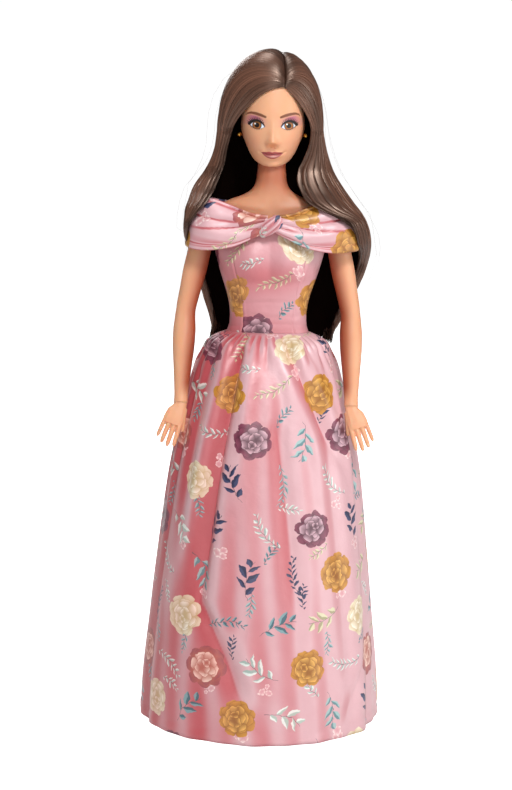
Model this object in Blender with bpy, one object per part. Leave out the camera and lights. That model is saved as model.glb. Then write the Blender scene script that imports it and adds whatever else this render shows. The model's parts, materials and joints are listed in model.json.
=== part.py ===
"""Fashion doll with long hair in a floor-length off-the-shoulder gown, as an assembly.

The doll faces -Y and stands on its gown's hem and its shoes at Z = 0. Its left side is +X.
"""

import math

import bmesh
import bpy
from mathutils import Matrix, Vector

# Driving dimensions of the figure, in metres
ANKLE_HEIGHT = 0.0215
SHIN_LENGTH = 0.0610
THIGH_LENGTH = 0.0650
TORSO_HEIGHT = 0.1230  # from the foot of the hip tongue to the top of the neck
HIP_ABOVE_TORSO_BASE = 0.0130
CHEST_HALF_WIDTH = 0.0230
CHEST_FRONT = 0.0100
CHEST_BACK = 0.0090
BUST_FULLNESS = 0.0034
BUST_SPREAD = 0.0088
TORSO_WALL = 0.0016
NECK_INSERT = 0.0080  # how far the neck reaches up inside the head
HEAD_HALF_WIDTH = 0.0136
HEAD_FRONT = 0.0146
HEAD_BACK = 0.0160
CROWN_RISE = 0.0285
JAW_DROP = 0.0205
CHIN_SHARE = 1.12  # how far the chin hangs below the jaw line, of the jaw drop
JAW_SLOPE = 0.52

# Joint hardware
GAP = 0.0003  # clearance between parts that touch or turn on each other
PIN_GAP = 0.00015
OVERRUN = 0.0020  # how far a cutter runs past what it cuts
SHOULDER_OUT = 0.0278
SHOULDER_SHARE = 0.744  # of the torso's height
ARMHOLE_OUT = 0.0226
ARMHOLE_RADIUS = 0.0066
SHOULDER_PEG_RADIUS = 0.0024
SHOULDER_FLANGE_RADIUS = 0.0030
SHOULDER_FLANGE_THICK = 0.0012
SHOULDER_FLANGE_BACK = 0.0024  # from the mouth of the armhole to the flange
HIP_AXLE_RADIUS = 0.0020
HIP_AXLE_HALF_LENGTH = 0.0150
HIP_TONGUE_HALF_WIDTH = 0.0045
HIP_BARREL_RADIUS = 0.0105
HIP_TONGUE_REACH = 0.0150  # the thigh's inner side is cut back this far round the hip
KNOB_RADIUS = 0.0070
KNOB_THICK = 0.0030
KNOB_STEM_RADIUS = 0.0026
KNOB_STEM_LENGTH = 0.0060

# Arms: lengths, radii and the way they hang
UPPER_ARM_LENGTH = 0.0430
FOREARM_LENGTH = 0.0415
UPPER_ARM_RADIUS = 0.0052
FOREARM_RADIUS = 0.0050
ELBOW_RADIUS = 0.0043
WRIST_CLEARANCE = 0.00300  # between the wrist's centre and the skirt beside it
CARRY_ANGLE = math.radians(11.0)
ELBOW_REST = math.radians(18.0)
HAND_FLARE = math.radians(18.0)
HAND_PITCH = math.radians(-4.0)
WRIST_PEG_RADIUS = 0.0013
WRIST_PEG_LENGTH = 0.0045
PALM_LENGTH = 0.0110
PALM_HALF_WIDTH = 0.0046
PALM_HALF_THICK = 0.0018
FINGER_RADIUS = 0.00115
FINGER_LENGTH = 0.0115
THUMB_LENGTH = 0.0100

# Legs and shoes
LEG_OUT = 0.0108
KNEE_OUT = 0.0090
THIGH_RADIUS = 0.0098
KNEE_RADIUS = 0.0066
CALF_RADIUS = 0.0068
FOOT_LENGTH = 0.0215
SHOE_WALL = 0.0009
SHOE_HEEL_RADIUS = 0.0016
HINGE_PIN_SHARE = 0.24  # a hinge pin's radius over its barrel's
HINGE_TONGUE_SHARE = 0.42  # a hinge tongue's half thickness over its barrel's radius
HINGE_DISC_SHARE = 0.78  # a hinge tongue's radius over its barrel's
HINGE_STEP_SHARE = 0.70  # how far below the axis the lower limb starts on its folding side

# Gown
CLOTH = 0.0008
BODICE_EASE = 0.0006  # between the body and the bodice
SEAM = 0.00018  # half the gap between two panels
WAIST_SHARE = 0.325  # the waist seam's height on the torso
BODICE_TOP_SHARE = 0.648
SKIRT_HEM_RADIUS = 0.0523
SKIRT_WAVE_DEPTH = 0.0006
BODICE_PEAK = 0.0075  # how far the front of the bodice rises behind the knot
GATHER_DEPTH = 0.0008
BAND_HALF_WIDTH = 0.0378
BAND_HEIGHT = 0.0215
BAND_FRONT = 0.0142
BAND_BACK = 0.0122
KNOT_HALF_WIDTH = 0.0040
KNOT_THICK = 0.0016
CLOSURE_WIDTH = 0.0050
CLOSURE_SHARE = 0.86  # of the bodice's height
TAPE = 0.0005

# Hair and earrings
HAIR_HALF_WIDTH = 0.0240
HAIR_RISE = 0.0364
HAIR_LENGTH = 0.0955
HAIR_THICK = 0.0042
HAIR_LOCK_DEPTH = 0.0008
PART_WIDTH = 0.0005
EARRING_RADIUS = 0.0011

# Facets
RING = 24
LIMB_RING = 16
SMALL_RING = 10
SKIRT_RING = 56

# Heights and places that follow from the sizes above
KNEE_Z = ANKLE_HEIGHT + SHIN_LENGTH
HIP_Z = KNEE_Z + THIGH_LENGTH
TORSO_BASE_Z = HIP_Z - HIP_ABOVE_TORSO_BASE
NECK_TOP_Z = TORSO_BASE_Z + TORSO_HEIGHT
JAW_FLOOR_Z = NECK_TOP_Z - NECK_INSERT
HEAD_CENTRE_Z = JAW_FLOOR_Z + JAW_DROP - 0.1 * JAW_DROP
SHOULDER_Z = TORSO_BASE_Z + SHOULDER_SHARE * TORSO_HEIGHT
WAIST_Z = TORSO_BASE_Z + WAIST_SHARE * TORSO_HEIGHT
BODICE_TOP_Z = TORSO_BASE_Z + BODICE_TOP_SHARE * TORSO_HEIGHT
BUST_Z = TORSO_BASE_Z + 0.585 * TORSO_HEIGHT
NECK_RADIUS = 0.60 * CHEST_FRONT

# Torso: height share, then shares of CHEST_HALF_WIDTH, CHEST_FRONT and CHEST_BACK
TORSO_SHARES = (
    (0.000, 0.30, 0.60, 0.70),
    (0.049, 0.62, 0.88, 1.15),
    (0.106, 0.87, 1.00, 1.36),
    (0.154, 0.92, 1.05, 1.40),
    (0.211, 0.86, 1.03, 1.26),
    (0.268, 0.77, 0.97, 1.06),
    (0.325, 0.70, 0.90, 0.90),
    (0.374, 0.645, 0.86, 0.83),
    (0.423, 0.66, 0.88, 0.86),
    (0.472, 0.72, 0.93, 0.90),
    (0.528, 0.82, 0.98, 0.95),
    (0.585, 0.91, 1.00, 0.98),
    (0.634, 0.97, 0.98, 0.98),
    (0.683, 0.975, 0.90, 0.95),
    (0.724, 0.972, 0.82, 0.90),
    (0.764, 0.955, 0.75, 0.83),
    (0.789, 0.91, 0.70, 0.78),
    (0.805, 0.75, 0.67, 0.74),
    (0.821, 0.52, 0.64, 0.71),
    (0.841, 0.36, 0.62, 0.69),
    (0.870, 0.28, 0.60, 0.667),
    (0.919, 0.261, 0.60, 0.667),
    (1.000, 0.261, 0.60, 0.667),
)

# Skirt: share of the waist's height, then shares of the hem radius to the side, front and back
SKIRT_SHARES = (
    (0.0000, 1.000, 1.000, 1.000),
    (0.0180, 1.000, 0.998, 0.998),
    (0.2900, 0.930, 0.925, 0.925),
    (0.4450, 0.876, 0.850, 0.850),
    (0.6270, 0.800, 0.755, 0.755),
    (0.7320, 0.735, 0.680, 0.680),
    (0.8000, 0.682, 0.615, 0.615),
    (0.9000, 0.602, 0.500, 0.500),
    (0.9370, 0.562, 0.440, 0.440),
    (0.9720, 0.500, 0.360, 0.360),
    (0.9900, 0.420, 0.285, 0.275),
    (1.0000, 0.350, 0.212, 0.206),
)

SKIRT_WAVES = (11, 7)  # how many times each of two waves goes round
SKIRT_GATHERS = 14
GATHER_SHARES = (0.050, 0.035)  # how far below the waist the gathers are deepest, and their spread
# The skirt's folds: angle from the front at the top and at the foot, height shares of both, then, as shares
# of the hem radius, the width at the top and at the foot and the depth, then its crests and its lean
SKIRT_FOLD_SHARES = (
    (-0.42, -0.64, 0.985, 0.26, 0.044, 0.120, 0.060, 0.70, 0.35),
    (0.34, 0.98, 0.985, 0.66, 0.038, 0.100, 0.044, 0.70, -0.25),
    (0.12, 0.36, 0.800, 0.28, 0.073, 0.115, 0.025, 0.30, 0.0),
    (-0.58, 0.02, 0.360, 0.03, 0.076, 0.115, 0.031, 0.50, 0.0),
    (-1.20, -1.24, 0.930, -0.20, 0.042, 0.115, 0.023, 0.40, 0.0),
    (1.28, 1.20, 0.930, -0.20, 0.042, 0.115, 0.019, 0.40, 0.0),
    (1.15, 0.72, 0.200, 0.00, 0.057, 0.096, 0.017, 0.30, 0.0),
    (1.85, 1.80, 0.970, -0.20, 0.034, 0.115, 0.038, 0.50, 0.0),
    (2.28, 2.34, 0.975, -0.20, 0.034, 0.120, 0.046, 0.50, 0.0),
    (2.74, 2.80, 0.970, -0.20, 0.034, 0.105, 0.034, 0.50, 0.0),
    (-1.82, -1.78, 0.970, -0.20, 0.034, 0.115, 0.038, 0.50, 0.0),
    (-2.25, -2.30, 0.975, -0.20, 0.034, 0.120, 0.046, 0.50, 0.0),
    (-2.70, -2.76, 0.970, -0.20, 0.034, 0.105, 0.034, 0.50, 0.0),
)

# Upper arm and forearm: length share, then radius share
UPPER_ARM_SHARES = (
    (-0.118, 0.25),
    (-0.108, 0.50),
    (-0.083, 0.76),
    (-0.045, 0.93),
    (0.000, 1.00),
    (0.300, 0.98),
    (0.550, 1.00),
    (0.800, 0.90),
    (1.000, 0.82),
)
FOREARM_SHARES = (
    (0.000, 0.84),
    (0.100, 0.92),
    (0.240, 1.00),
    (0.420, 0.96),
    (0.640, 0.80),
    (0.840, 0.64),
    (0.960, 0.58),
    (1.000, 0.58),
)
THIGH_SHARES = (
    (0.060, 1.00),
    (0.280, 0.98),
    (0.520, 0.88),
    (0.760, 0.74),
    (1.000, 0.67),
)
# Shin: share of SHIN_LENGTH down, of FOOT_LENGTH forward, of CALF_RADIUS across and deep, turn forward
SHIN_SHARES = (
    (0.000, 0.000, 0.95, 0.95, 0.00),
    (0.160, -0.020, 0.93, 0.98, 0.00),
    (0.340, -0.060, 0.98, 1.08, 0.00),
    (0.560, -0.050, 0.78, 0.86, 0.00),
    (0.780, -0.020, 0.58, 0.62, 0.00),
    (0.940, 0.000, 0.49, 0.55, 0.00),
)
# Foot: the same, but with the share of ANKLE_HEIGHT below the ankle
FOOT_SHARES = (
    (0.0000, 0.000, 0.49, 0.580, 0.02),
    (0.1816, -0.010, 0.49, 0.760, 0.38),
    (0.3064, 0.130, 0.49, 0.620, 0.61),
    (0.5362, 0.344, 0.49, 0.430, 0.64),
    (0.7575, 0.558, 0.57, 0.360, 0.72),
    (0.8455, 0.726, 0.57, 0.280, 0.89),
    (0.8739, 0.884, 0.46, 0.213, 1.00),
    (0.8866, 0.980, 0.24, 0.100, 1.00),
)
# Shoe sole: share of FOOT_LENGTH forward, share of CALF_RADIUS to each side
SOLE_SHARES = (
    (0.46, 0.42),
    (0.56, 0.62),
    (0.70, 0.70),
    (0.84, 0.66),
    (0.96, 0.50),
    (1.05, 0.26),
)
# Palm: share of PALM_LENGTH down, of PALM_HALF_WIDTH and PALM_HALF_THICK
PALM_SHARES = (
    (0.00, 0.62, 1.35),
    (0.15, 0.66, 1.25),
    (0.45, 0.90, 1.05),
    (0.80, 1.02, 0.95),
    (1.02, 0.94, 0.78),
)
# Fingers: place across the palm, length share, curl in turns, radius share
FINGER_SHARES = (
    (-0.76, 0.92, 0.02, 1.00),
    (-0.25, 1.00, 0.03, 1.02),
    (0.26, 0.94, 0.04, 0.98),
    (0.76, 0.76, 0.06, 0.86),
)
# Band, from the centre front to the centre back: half width, depth and height of top, middle and foot
BAND_SHARES = (
    (0.00, (0.030, -0.830, 0.70), (0.030, -0.960, 0.59), (0.030, -1.000, 0.47)),
    (0.12, (0.180, -0.830, 0.74), (0.190, -0.980, 0.53), (0.200, -1.040, 0.30)),
    (0.26, (0.420, -0.580, 0.88), (0.440, -0.960, 0.49), (0.460, -1.040, 0.09)),
    (0.40, (0.640, -0.440, 1.00), (0.740, -0.860, 0.55), (0.760, -0.860, 0.02)),
    (0.50, (0.735, -0.250, 1.03), (0.915, -0.440, 0.66), (0.985, -0.440, 0.06)),
    (0.58, (0.750, 0.060, 1.04), (0.930, 0.060, 0.68), (1.000, 0.060, 0.07)),
    (0.66, (0.725, 0.360, 1.03), (0.900, 0.520, 0.64), (0.970, 0.520, 0.05)),
    (0.76, (0.620, 0.700, 0.98), (0.740, 0.960, 0.54), (0.760, 0.960, 0.01)),
    (0.88, (0.330, 0.920, 0.94), (0.380, 1.010, 0.50), (0.400, 1.030, 0.00)),
    (1.00, (0.008, 0.930, 0.93), (0.008, 1.010, 0.50), (0.008, 1.030, 0.00)),
)
KNOT_SHARES = ((0.0, 0.25, 0.5), (0.14, 0.75, 0.9), (0.5, 1.0, 1.0), (0.86, 0.75, 0.9), (1.0, 0.25, 0.5))
# Hair over the crown: height, half width to the doll's right and left, front and back depth
CROWN_SHARES = (
    (0.000, 1.050, 0.940, 0.080, 0.900),
    (0.200, 1.030, 0.925, 0.240, 0.910),
    (0.420, 0.975, 0.870, 0.500, 0.890),
    (0.590, 0.900, 0.785, 0.640, 0.850),
    (0.750, 0.770, 0.640, 0.600, 0.740),
    (0.880, 0.590, 0.450, 0.470, 0.580),
    (0.955, 0.390, 0.280, 0.310, 0.390),
    (0.992, 0.180, 0.130, 0.150, 0.190),
)
# Falling hair: length, outside right and left, the back, the front edges, thickness right and left
FALL_SHARES = (
    (0.000, 1.050, 0.940, 0.900, 0.095, 0.400, 0.290),
    (0.095, 1.080, 0.970, 0.880, 0.090, 0.450, 0.340),
    (0.180, 1.150, 1.060, 0.850, 0.090, 0.470, 0.380),
    (0.255, 1.370, 1.310, 0.820, 0.110, 0.400, 0.330),
    (0.315, 1.520, 1.530, 0.810, 0.150, 0.200, 0.190),
    (0.380, 1.620, 1.730, 0.815, 0.240, 0.170, 0.170),
    (0.455, 1.620, 1.850, 0.820, 0.360, 0.165, 0.170),
    (0.530, 1.560, 1.880, 0.825, 0.400, 0.165, 0.170),
    (0.645, 1.440, 1.800, 0.840, 0.400, 0.165, 0.170),
    (0.760, 1.280, 1.620, 0.880, 0.430, 0.165, 0.170),
    (0.870, 1.190, 1.460, 0.940, 0.480, 0.150, 0.160),
    (0.950, 1.180, 1.360, 1.020, 0.560, 0.120, 0.130),
    (1.000, 1.190, 1.300, 1.060, 0.640, 0.080, 0.080),
)
FALL_LEVEL_SHARES = (0.0, 0.095, 0.18, 0.22, 0.26, 0.31, 0.37, 0.45, 0.55, 0.66, 0.76, 0.87, 0.95, 1.0)
# The part: shares of the head's half width, front depth and crown rise along its foot
PART_SHARES = (
    (0.47, 1.20, 0.60),
    (0.42, 0.86, 0.86),
    (0.34, 0.56, 1.015),
    (0.26, 0.24, 1.075),
    (0.20, -0.06, 1.090),
)
HAIR_FRONT_SHARES = (-0.62, -0.22, 0.22, 0.62)  # where the fall is parted into locks, over its half turn
FACE_OPENING_SHARES = (
    (-0.95, -1.60),
    (-1.00, -0.20),
    (-0.92, 0.18),
    (-0.62, 0.42),
    (-0.10, 0.585),
    (0.38, 0.665),
    (0.66, 0.60),
    (0.90, 0.42),
    (1.00, 0.15),
    (1.00, -0.20),
    (0.96, -1.60),
)

# Colours as linear red, green, blue, with roughness and metallic value
FINISHES = {
    "skin_vinyl": ((0.73, 0.42, 0.27), 0.45, 0.0),
    "body_plastic": ((0.72, 0.41, 0.27), 0.40, 0.0),
    "white_nylon": ((0.80, 0.79, 0.75), 0.50, 0.0),
    "hinge_plastic": ((0.68, 0.40, 0.28), 0.45, 0.0),
    "steel": ((0.56, 0.56, 0.57), 0.30, 1.0),
    "gold_metal": ((0.83, 0.58, 0.22), 0.25, 1.0),
    "gown_satin": ((0.71, 0.35, 0.38), 0.42, 0.0),
    "fastener_tape": ((0.70, 0.42, 0.44), 0.90, 0.0),
    "hair_fibre": ((0.060, 0.028, 0.018), 0.35, 0.0),
    "shoe_plastic": ((0.70, 0.30, 0.36), 0.30, 0.0),
}


def clear_scene():
    for obj in list(bpy.data.objects):
        bpy.data.objects.remove(obj)


def finish_of(name):
    """The material of that name, made once."""
    found = bpy.data.materials.get(name)
    if found:
        return found
    colour, roughness, metallic = FINISHES[name]
    made = bpy.data.materials.new(name)
    made.use_nodes = True
    shader = made.node_tree.nodes["Principled BSDF"]
    shader.inputs["Base Color"].default_value = (*colour, 1.0)
    shader.inputs["Roughness"].default_value = roughness
    shader.inputs["Metallic"].default_value = metallic
    return made


def mesh_object(name, points, faces, finish=None, smooth=35):
    """An object from points and faces, with its faces turned outwards."""
    mesh = bpy.data.meshes.new(name)
    mesh.from_pydata([tuple(p) for p in points], [], faces)
    shaped = bmesh.new()
    shaped.from_mesh(mesh)
    bmesh.ops.recalc_face_normals(shaped, faces=shaped.faces)
    shaped.to_mesh(mesh)
    shaped.free()
    mesh.shade_smooth()
    mesh.set_sharp_from_angle(angle=math.radians(smooth))
    obj = bpy.data.objects.new(name, mesh)
    bpy.context.scene.collection.objects.link(obj)
    if finish:
        mesh.materials.append(finish_of(finish))
    return obj


def loft(name, rings, finish=None, smooth=50, fans=True):
    """A closed solid through rings of equal count, closed at its ends by fans or by single flat faces."""
    count = len(rings[0])
    points = [p for ring in rings for p in ring]
    faces = []
    for r in range(len(rings) - 1):
        for i in range(count):
            j = (i + 1) % count
            faces.append((r * count + i, r * count + j, (r + 1) * count + j, (r + 1) * count + i))
    for r in (0, len(rings) - 1):
        if not fans:
            faces.append(tuple(range(r * count, (r + 1) * count)))
            continue
        middle = sum((Vector(p) for p in rings[r]), Vector()) / count
        points.append(middle)
        hub = len(points) - 1
        for i in range(count):
            faces.append((r * count + i, r * count + (i + 1) % count, hub))
    return mesh_object(name, points, faces, finish, smooth)


def sheet(name, outer, inner, finish, smooth=50):
    """A closed solid between two grids of equal size that share no point, such as a panel of cloth."""
    rows, columns = len(outer), len(outer[0])
    size = rows * columns
    points = [p for row in outer for p in row] + [p for row in inner for p in row]
    faces = []
    for r in range(rows - 1):
        for c in range(columns - 1):
            a, b = r * columns + c, r * columns + c + 1
            faces.append((a, b, b + columns, a + columns))
            faces.append((size + a, size + a + columns, size + b + columns, size + b))
    rim = [c for c in range(columns)]
    rim += [r * columns + columns - 1 for r in range(1, rows)]
    rim += [(rows - 1) * columns + c for c in range(columns - 2, -1, -1)]
    rim += [r * columns for r in range(rows - 2, 0, -1)]
    for i, a in enumerate(rim):
        b = rim[(i + 1) % len(rim)]
        faces.append((a, b, size + b, size + a))
    return mesh_object(name, points, faces, finish, smooth)


def turned(name, profile, frame=Matrix(), count=SMALL_RING, finish=None):
    """A solid turned about the frame's X axis, from places along it and the radius at each."""
    rings = []
    for x, r in profile:
        turn = [2 * math.pi * (i + 0.4) / count for i in range(count)]
        rings.append([frame @ Vector((x, r * math.cos(t), r * math.sin(t))) for t in turn])
    return loft(name, rings, finish)


def cylinder(name, radius, start, end, frame=Matrix(), count=SMALL_RING, finish=None):
    return turned(name, ((start, radius), (end, radius)), frame, count, finish)


def block(name, low, high, frame=Matrix()):
    corners = [(x, y, z) for x in (low[0], high[0]) for y in (low[1], high[1]) for z in (low[2], high[2])]
    faces = [(0, 1, 3, 2), (4, 6, 7, 5), (0, 4, 5, 1), (2, 3, 7, 6), (0, 2, 6, 4), (1, 5, 7, 3)]
    return mesh_object(name, [frame @ Vector(c) for c in corners], faces)


def helper(obj):
    """Marks a shape that only cuts or joins, and isn't a piece of the doll."""
    obj.hide_render = True
    obj.display_type = "WIRE"
    return obj


def combine(obj, other, operation):
    step = obj.modifiers.new(operation.lower(), "BOOLEAN")
    step.operation = operation
    step.solver = "EXACT"
    step.object = helper(other)


def cut(obj, other):
    combine(obj, other, "DIFFERENCE")


def join(obj, other):
    combine(obj, other, "UNION")


def eased_slope(slope, rise):
    """A slope that never overshoots: nothing where it runs against the rise, at most three times it."""
    if slope * rise <= 0:
        return 0.0
    return math.copysign(min(abs(slope), 3 * abs(rise)), rise)


def between(table, at):
    """The table's row at that share, eased smoothly between its rows."""
    if at >= table[-1][0]:
        return table[-1][1:]
    i = max(k for k in range(len(table) - 1) if k == 0 or table[k][0] < at)
    before, low, high = table[max(i - 1, 0)], table[i], table[i + 1]
    after = table[min(i + 2, len(table) - 1)]
    span = high[0] - low[0]
    t = max(0.0, at - low[0]) / span
    found = []
    for k in range(1, len(low)):
        rise = high[k] - low[k]
        start = eased_slope(span * (high[k] - before[k]) / (high[0] - before[0]), rise)
        stop = eased_slope(span * (after[k] - low[k]) / (after[0] - low[0]), rise)
        value = (2 * t**3 - 3 * t**2 + 1) * low[k] + (t**3 - 2 * t**2 + t) * start
        found.append(value + (3 * t**2 - 2 * t**3) * high[k] + (t**3 - t**2) * stop)
    return found


def rounded(angle, power):
    """Sine and cosine of an angle, pushed outwards so that the ring is fuller at its corners."""
    s, c = math.sin(angle), math.cos(angle)
    bend = 2.0 / power
    return math.copysign(abs(s) ** bend, s), math.copysign(abs(c) ** bend, c)


def bell(x, spread):
    return math.exp(-0.5 * (x / spread) ** 2)


def ramp(x, low, high):
    """Rises smoothly from 0 at low to 1 at high."""
    t = min(1.0, max(0.0, (x - low) / (high - low)))
    return t * t * (3 - 2 * t)


def torso_point(angle, z, grow=0.0):
    """A point on the torso's skin, or that far outside it. Angle 0 is the centre front."""
    share = (z - TORSO_BASE_Z) / TORSO_HEIGHT
    width, front, back = between(TORSO_SHARES, share)
    power = 2.0 if share > 0.86 else 2.35
    s, c = rounded(angle, power)
    x = s * (width * CHEST_HALF_WIDTH + grow)
    depth = front * CHEST_FRONT if c > 0 else back * CHEST_BACK
    y = -c * (depth + grow)
    if c > 0:
        lift = bell(z - BUST_Z, 0.75 * BUST_SPREAD)
        swell = max(bell(x - BUST_SPREAD, 0.7 * BUST_SPREAD), bell(x + BUST_SPREAD, 0.7 * BUST_SPREAD))
        y -= BUST_FULLNESS * lift * swell * min(1.0, 3 * c)
    return Vector((x, y, z))


def torso_ring(z, grow=0.0, count=RING):
    return [torso_point(2 * math.pi * i / count, z, grow) for i in range(count)]


def half_ring(z, front):
    """The front or back half of a torso ring, closed by the flat face where the halves meet."""
    side = -1 if front else 1
    start = -0.5 * math.pi if front else 0.5 * math.pi
    steps = RING // 2
    ring = [torso_point(start + math.pi * i / steps, z) for i in range(steps + 1)]
    for end in (ring[0], ring[-1]):
        end.y = side * 0.5 * GAP
    return ring


def torso_half(name, front):
    """One moulded half of the torso and neck, with the room inside for the pegs of the joints."""
    levels = [TORSO_BASE_Z + row[0] * TORSO_HEIGHT for row in TORSO_SHARES]
    half = loft(name, [half_ring(z, front) for z in levels], "body_plastic")
    reach = 2 * (CHEST_FRONT + CHEST_BACK)
    wide = 2 * CHEST_HALF_WIDTH
    top = SHOULDER_Z + 2 * SHOULDER_FLANGE_RADIUS
    inner = [z for z in levels if HIP_Z + HIP_BARREL_RADIUS < z < top]
    cut(half, loft(name + "_hollow", [torso_ring(z, -TORSO_WALL) for z in inner]))
    stem = Matrix.Translation((0, 0, NECK_TOP_Z)) @ Matrix.Rotation(math.radians(90), 4, "Y")
    bore = KNOB_STEM_RADIUS + PIN_GAP
    cut(half, cylinder(name + "_neck_hole", bore, -OVERRUN, KNOB_STEM_LENGTH + GAP, stem))
    hip = Matrix.Translation((0, 0, HIP_Z))
    arm = Matrix.Translation((0, 0, SHOULDER_Z))
    cut(half, cylinder(name + "_axle_hole", HIP_AXLE_RADIUS + PIN_GAP, -wide, wide, hip))
    for s in (-1, 1):
        mouth, seat = s * ARMHOLE_OUT, s * (ARMHOLE_OUT - SHOULDER_FLANGE_BACK + GAP)
        inside = seat - s * (SHOULDER_FLANGE_THICK + 2 * GAP)
        hole, room = SHOULDER_PEG_RADIUS + GAP, SHOULDER_FLANGE_RADIUS + GAP
        profile = (
            (inside, room),
            (seat, room),
            (seat, hole),
            (mouth, hole),
            (mouth, ARMHOLE_RADIUS),
            (s * wide, ARMHOLE_RADIUS),
        )
        cut(half, turned(name + "_armhole", profile, arm, LIMB_RING))
        span = (s * HIP_TONGUE_HALF_WIDTH, s * wide)
        cut(half, arch(name + "_leg_room", HIP_BARREL_RADIUS + GAP, span, reach, HIP_BARREL_RADIUS * 2, hip))
    return half


def neck_knob():
    """The barbed knob that holds the head on the neck."""
    frame = Matrix.Translation((0, 0, NECK_TOP_Z)) @ Matrix.Rotation(math.radians(-90), 4, "Y")
    profile = (
        (GAP - KNOB_STEM_LENGTH, KNOB_STEM_RADIUS),
        (GAP, KNOB_STEM_RADIUS),
        (GAP, 0.80 * KNOB_RADIUS),
        (GAP + 0.35 * KNOB_THICK, KNOB_RADIUS),
        (GAP + 0.60 * KNOB_THICK, KNOB_RADIUS),
        (GAP + KNOB_THICK, 0.70 * KNOB_RADIUS),
    )
    return turned("neck_knob", profile, frame, LIMB_RING, "white_nylon")


def face_relief(x, z):
    """How far the face stands out at a place on it, from its plain egg shape."""
    w, h = HEAD_HALF_WIDTH, JAW_DROP
    side = abs(x)
    lift = 0.0
    ridge = min(1.0, max(0.0, (0.10 * h - z) / (0.58 * h)))
    drop = bell(min(0.0, z + 0.50 * h), 0.045 * h)
    lift += 0.205 * w * ridge**1.5 * drop * bell(x, (0.085 + 0.035 * ridge) * w)
    lift += 0.055 * w * bell(side - 0.125 * w, 0.055 * w) * bell(z + 0.53 * h, 0.045 * h)
    lift -= 0.085 * w * bell(side - 0.47 * w, 0.21 * w) * bell(z + 0.10 * h, 0.12 * h)
    lift += 0.040 * w * bell(side - 0.48 * w, 0.15 * w) * bell(z + 0.12 * h, 0.07 * h)
    lift += 0.045 * w * bell(side - 0.52 * w, 0.24 * w) * bell(z + 0.50 * h, 0.17 * h)
    lift += 0.080 * w * bell(x, 0.21 * w) * bell(z + 0.665 * h, 0.035 * h)
    lift += 0.095 * w * bell(x, 0.17 * w) * bell(z + 0.755 * h, 0.042 * h)
    lift -= 0.040 * w * bell(x, 0.24 * w) * bell(z + 0.707 * h, 0.016 * h)
    lift += 0.110 * w * bell(x, 0.24 * w) * bell(z + 0.93 * h, 0.075 * h)
    return lift


def head_point(direction, grow=0.0):
    """A point on the head along a direction from its middle, or that far outside it."""
    sx, sy, sz = direction
    x = HEAD_HALF_WIDTH * sx
    y = (HEAD_FRONT if sy < 0 else HEAD_BACK) * math.copysign(abs(sy) ** 0.92, sy)
    z = (CROWN_RISE if sz > 0 else CHIN_SHARE * JAW_DROP) * sz
    low = max(0.0, -sz)
    x *= 1 - 0.18 * low**1.5
    jaw = -CHIN_SHARE * JAW_DROP + JAW_SLOPE * (y + 0.80 * HEAD_FRONT)
    soft = 0.05 * JAW_DROP
    z = soft * math.log(math.exp(min(z / soft, 60)) + math.exp(min(jaw / soft, 60)))
    if sy < 0:
        y -= face_relief(x, z) * min(1.0, -3 * sy)
    ear = bell(y - 0.10 * HEAD_BACK, 0.085 * HEAD_BACK) * bell(z + 0.16 * JAW_DROP, 0.17 * JAW_DROP)
    x += math.copysign(0.06 * HEAD_HALF_WIDTH * ear, x) * min(1.0, abs(sx) * 1.5)
    return Vector((x, y, z)) + grow * Vector(direction) + Vector((0, 0, HEAD_CENTRE_Z))


def head_rings(rows, columns, crowd, grow=0.0):
    """Rings of the head from crown to throat, closer together over the face."""
    rings = []
    for r in range(1, rows):
        polar = math.pi * r / rows
        polar += 0.16 * math.sin(2 * polar) if polar > math.pi / 2 else 0.0
        ring = []
        for c in range(columns):
            turn = 2 * math.pi * c / columns
            turn -= crowd * math.sin(turn)
            way = (math.sin(polar) * math.sin(turn), -math.sin(polar) * math.cos(turn), math.cos(polar))
            ring.append(head_point(Vector(way), grow))
        rings.append(ring)
    return rings


def head():
    """The soft vinyl head, with the bore and the pocket that snap over the neck knob."""
    skull = loft("head", head_rings(28, 28, 0.60), "skin_vinyl")
    up = Matrix.Rotation(math.radians(-90), 4, "Y")
    bore = NECK_RADIUS + GAP
    cut(skull, cylinder("head_bore", bore, JAW_FLOOR_Z - JAW_DROP, NECK_TOP_Z + KNOB_THICK, up, RING))
    pocket = KNOB_RADIUS + 2 * GAP
    cut(skull, cylinder("head_pocket", pocket, NECK_TOP_Z, NECK_TOP_Z + KNOB_THICK + 4 * GAP, up, RING))
    return skull


def earring(side, name):
    """A small gold ball on a pin below the ear."""
    ball = bmesh.new()
    bmesh.ops.create_icosphere(ball, subdivisions=2, radius=EARRING_RADIUS)
    mesh = bpy.data.meshes.new(name)
    ball.to_mesh(mesh)
    ball.free()
    mesh.shade_smooth()
    mesh.materials.append(finish_of("gold_metal"))
    obj = bpy.data.objects.new(name, mesh)
    bpy.context.scene.collection.objects.link(obj)
    lobe = head_point(Vector((side, 0.02, -0.27)).normalized())
    obj.location = lobe + Vector((side * (EARRING_RADIUS + GAP), 0, 0))
    return obj


def limb_frame(centre, turns):
    """A frame at a joint's centre, turned about Y and then about its own X, with the limb down its -Z."""
    about_y, about_x = turns
    return Matrix.Translation(centre) @ Matrix.Rotation(about_y, 4, "Y") @ Matrix.Rotation(about_x, 4, "X")


def limb(name, shares, length, radius, finish, bow=0.0):
    """A tapered limb down its own -Z axis."""
    rings = []
    for at, thick in shares:
        r = thick * radius
        shift = bow * math.sin(math.pi * min(1.0, max(0.0, at)))
        turn = [2 * math.pi * i / LIMB_RING for i in range(LIMB_RING)]
        rings.append([Vector((r * math.sin(t), shift - r * math.cos(t), -at * length)) for t in turn])
    return loft(name, rings, finish)


def place(obj, frame):
    obj.matrix_world = frame
    return obj


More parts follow.
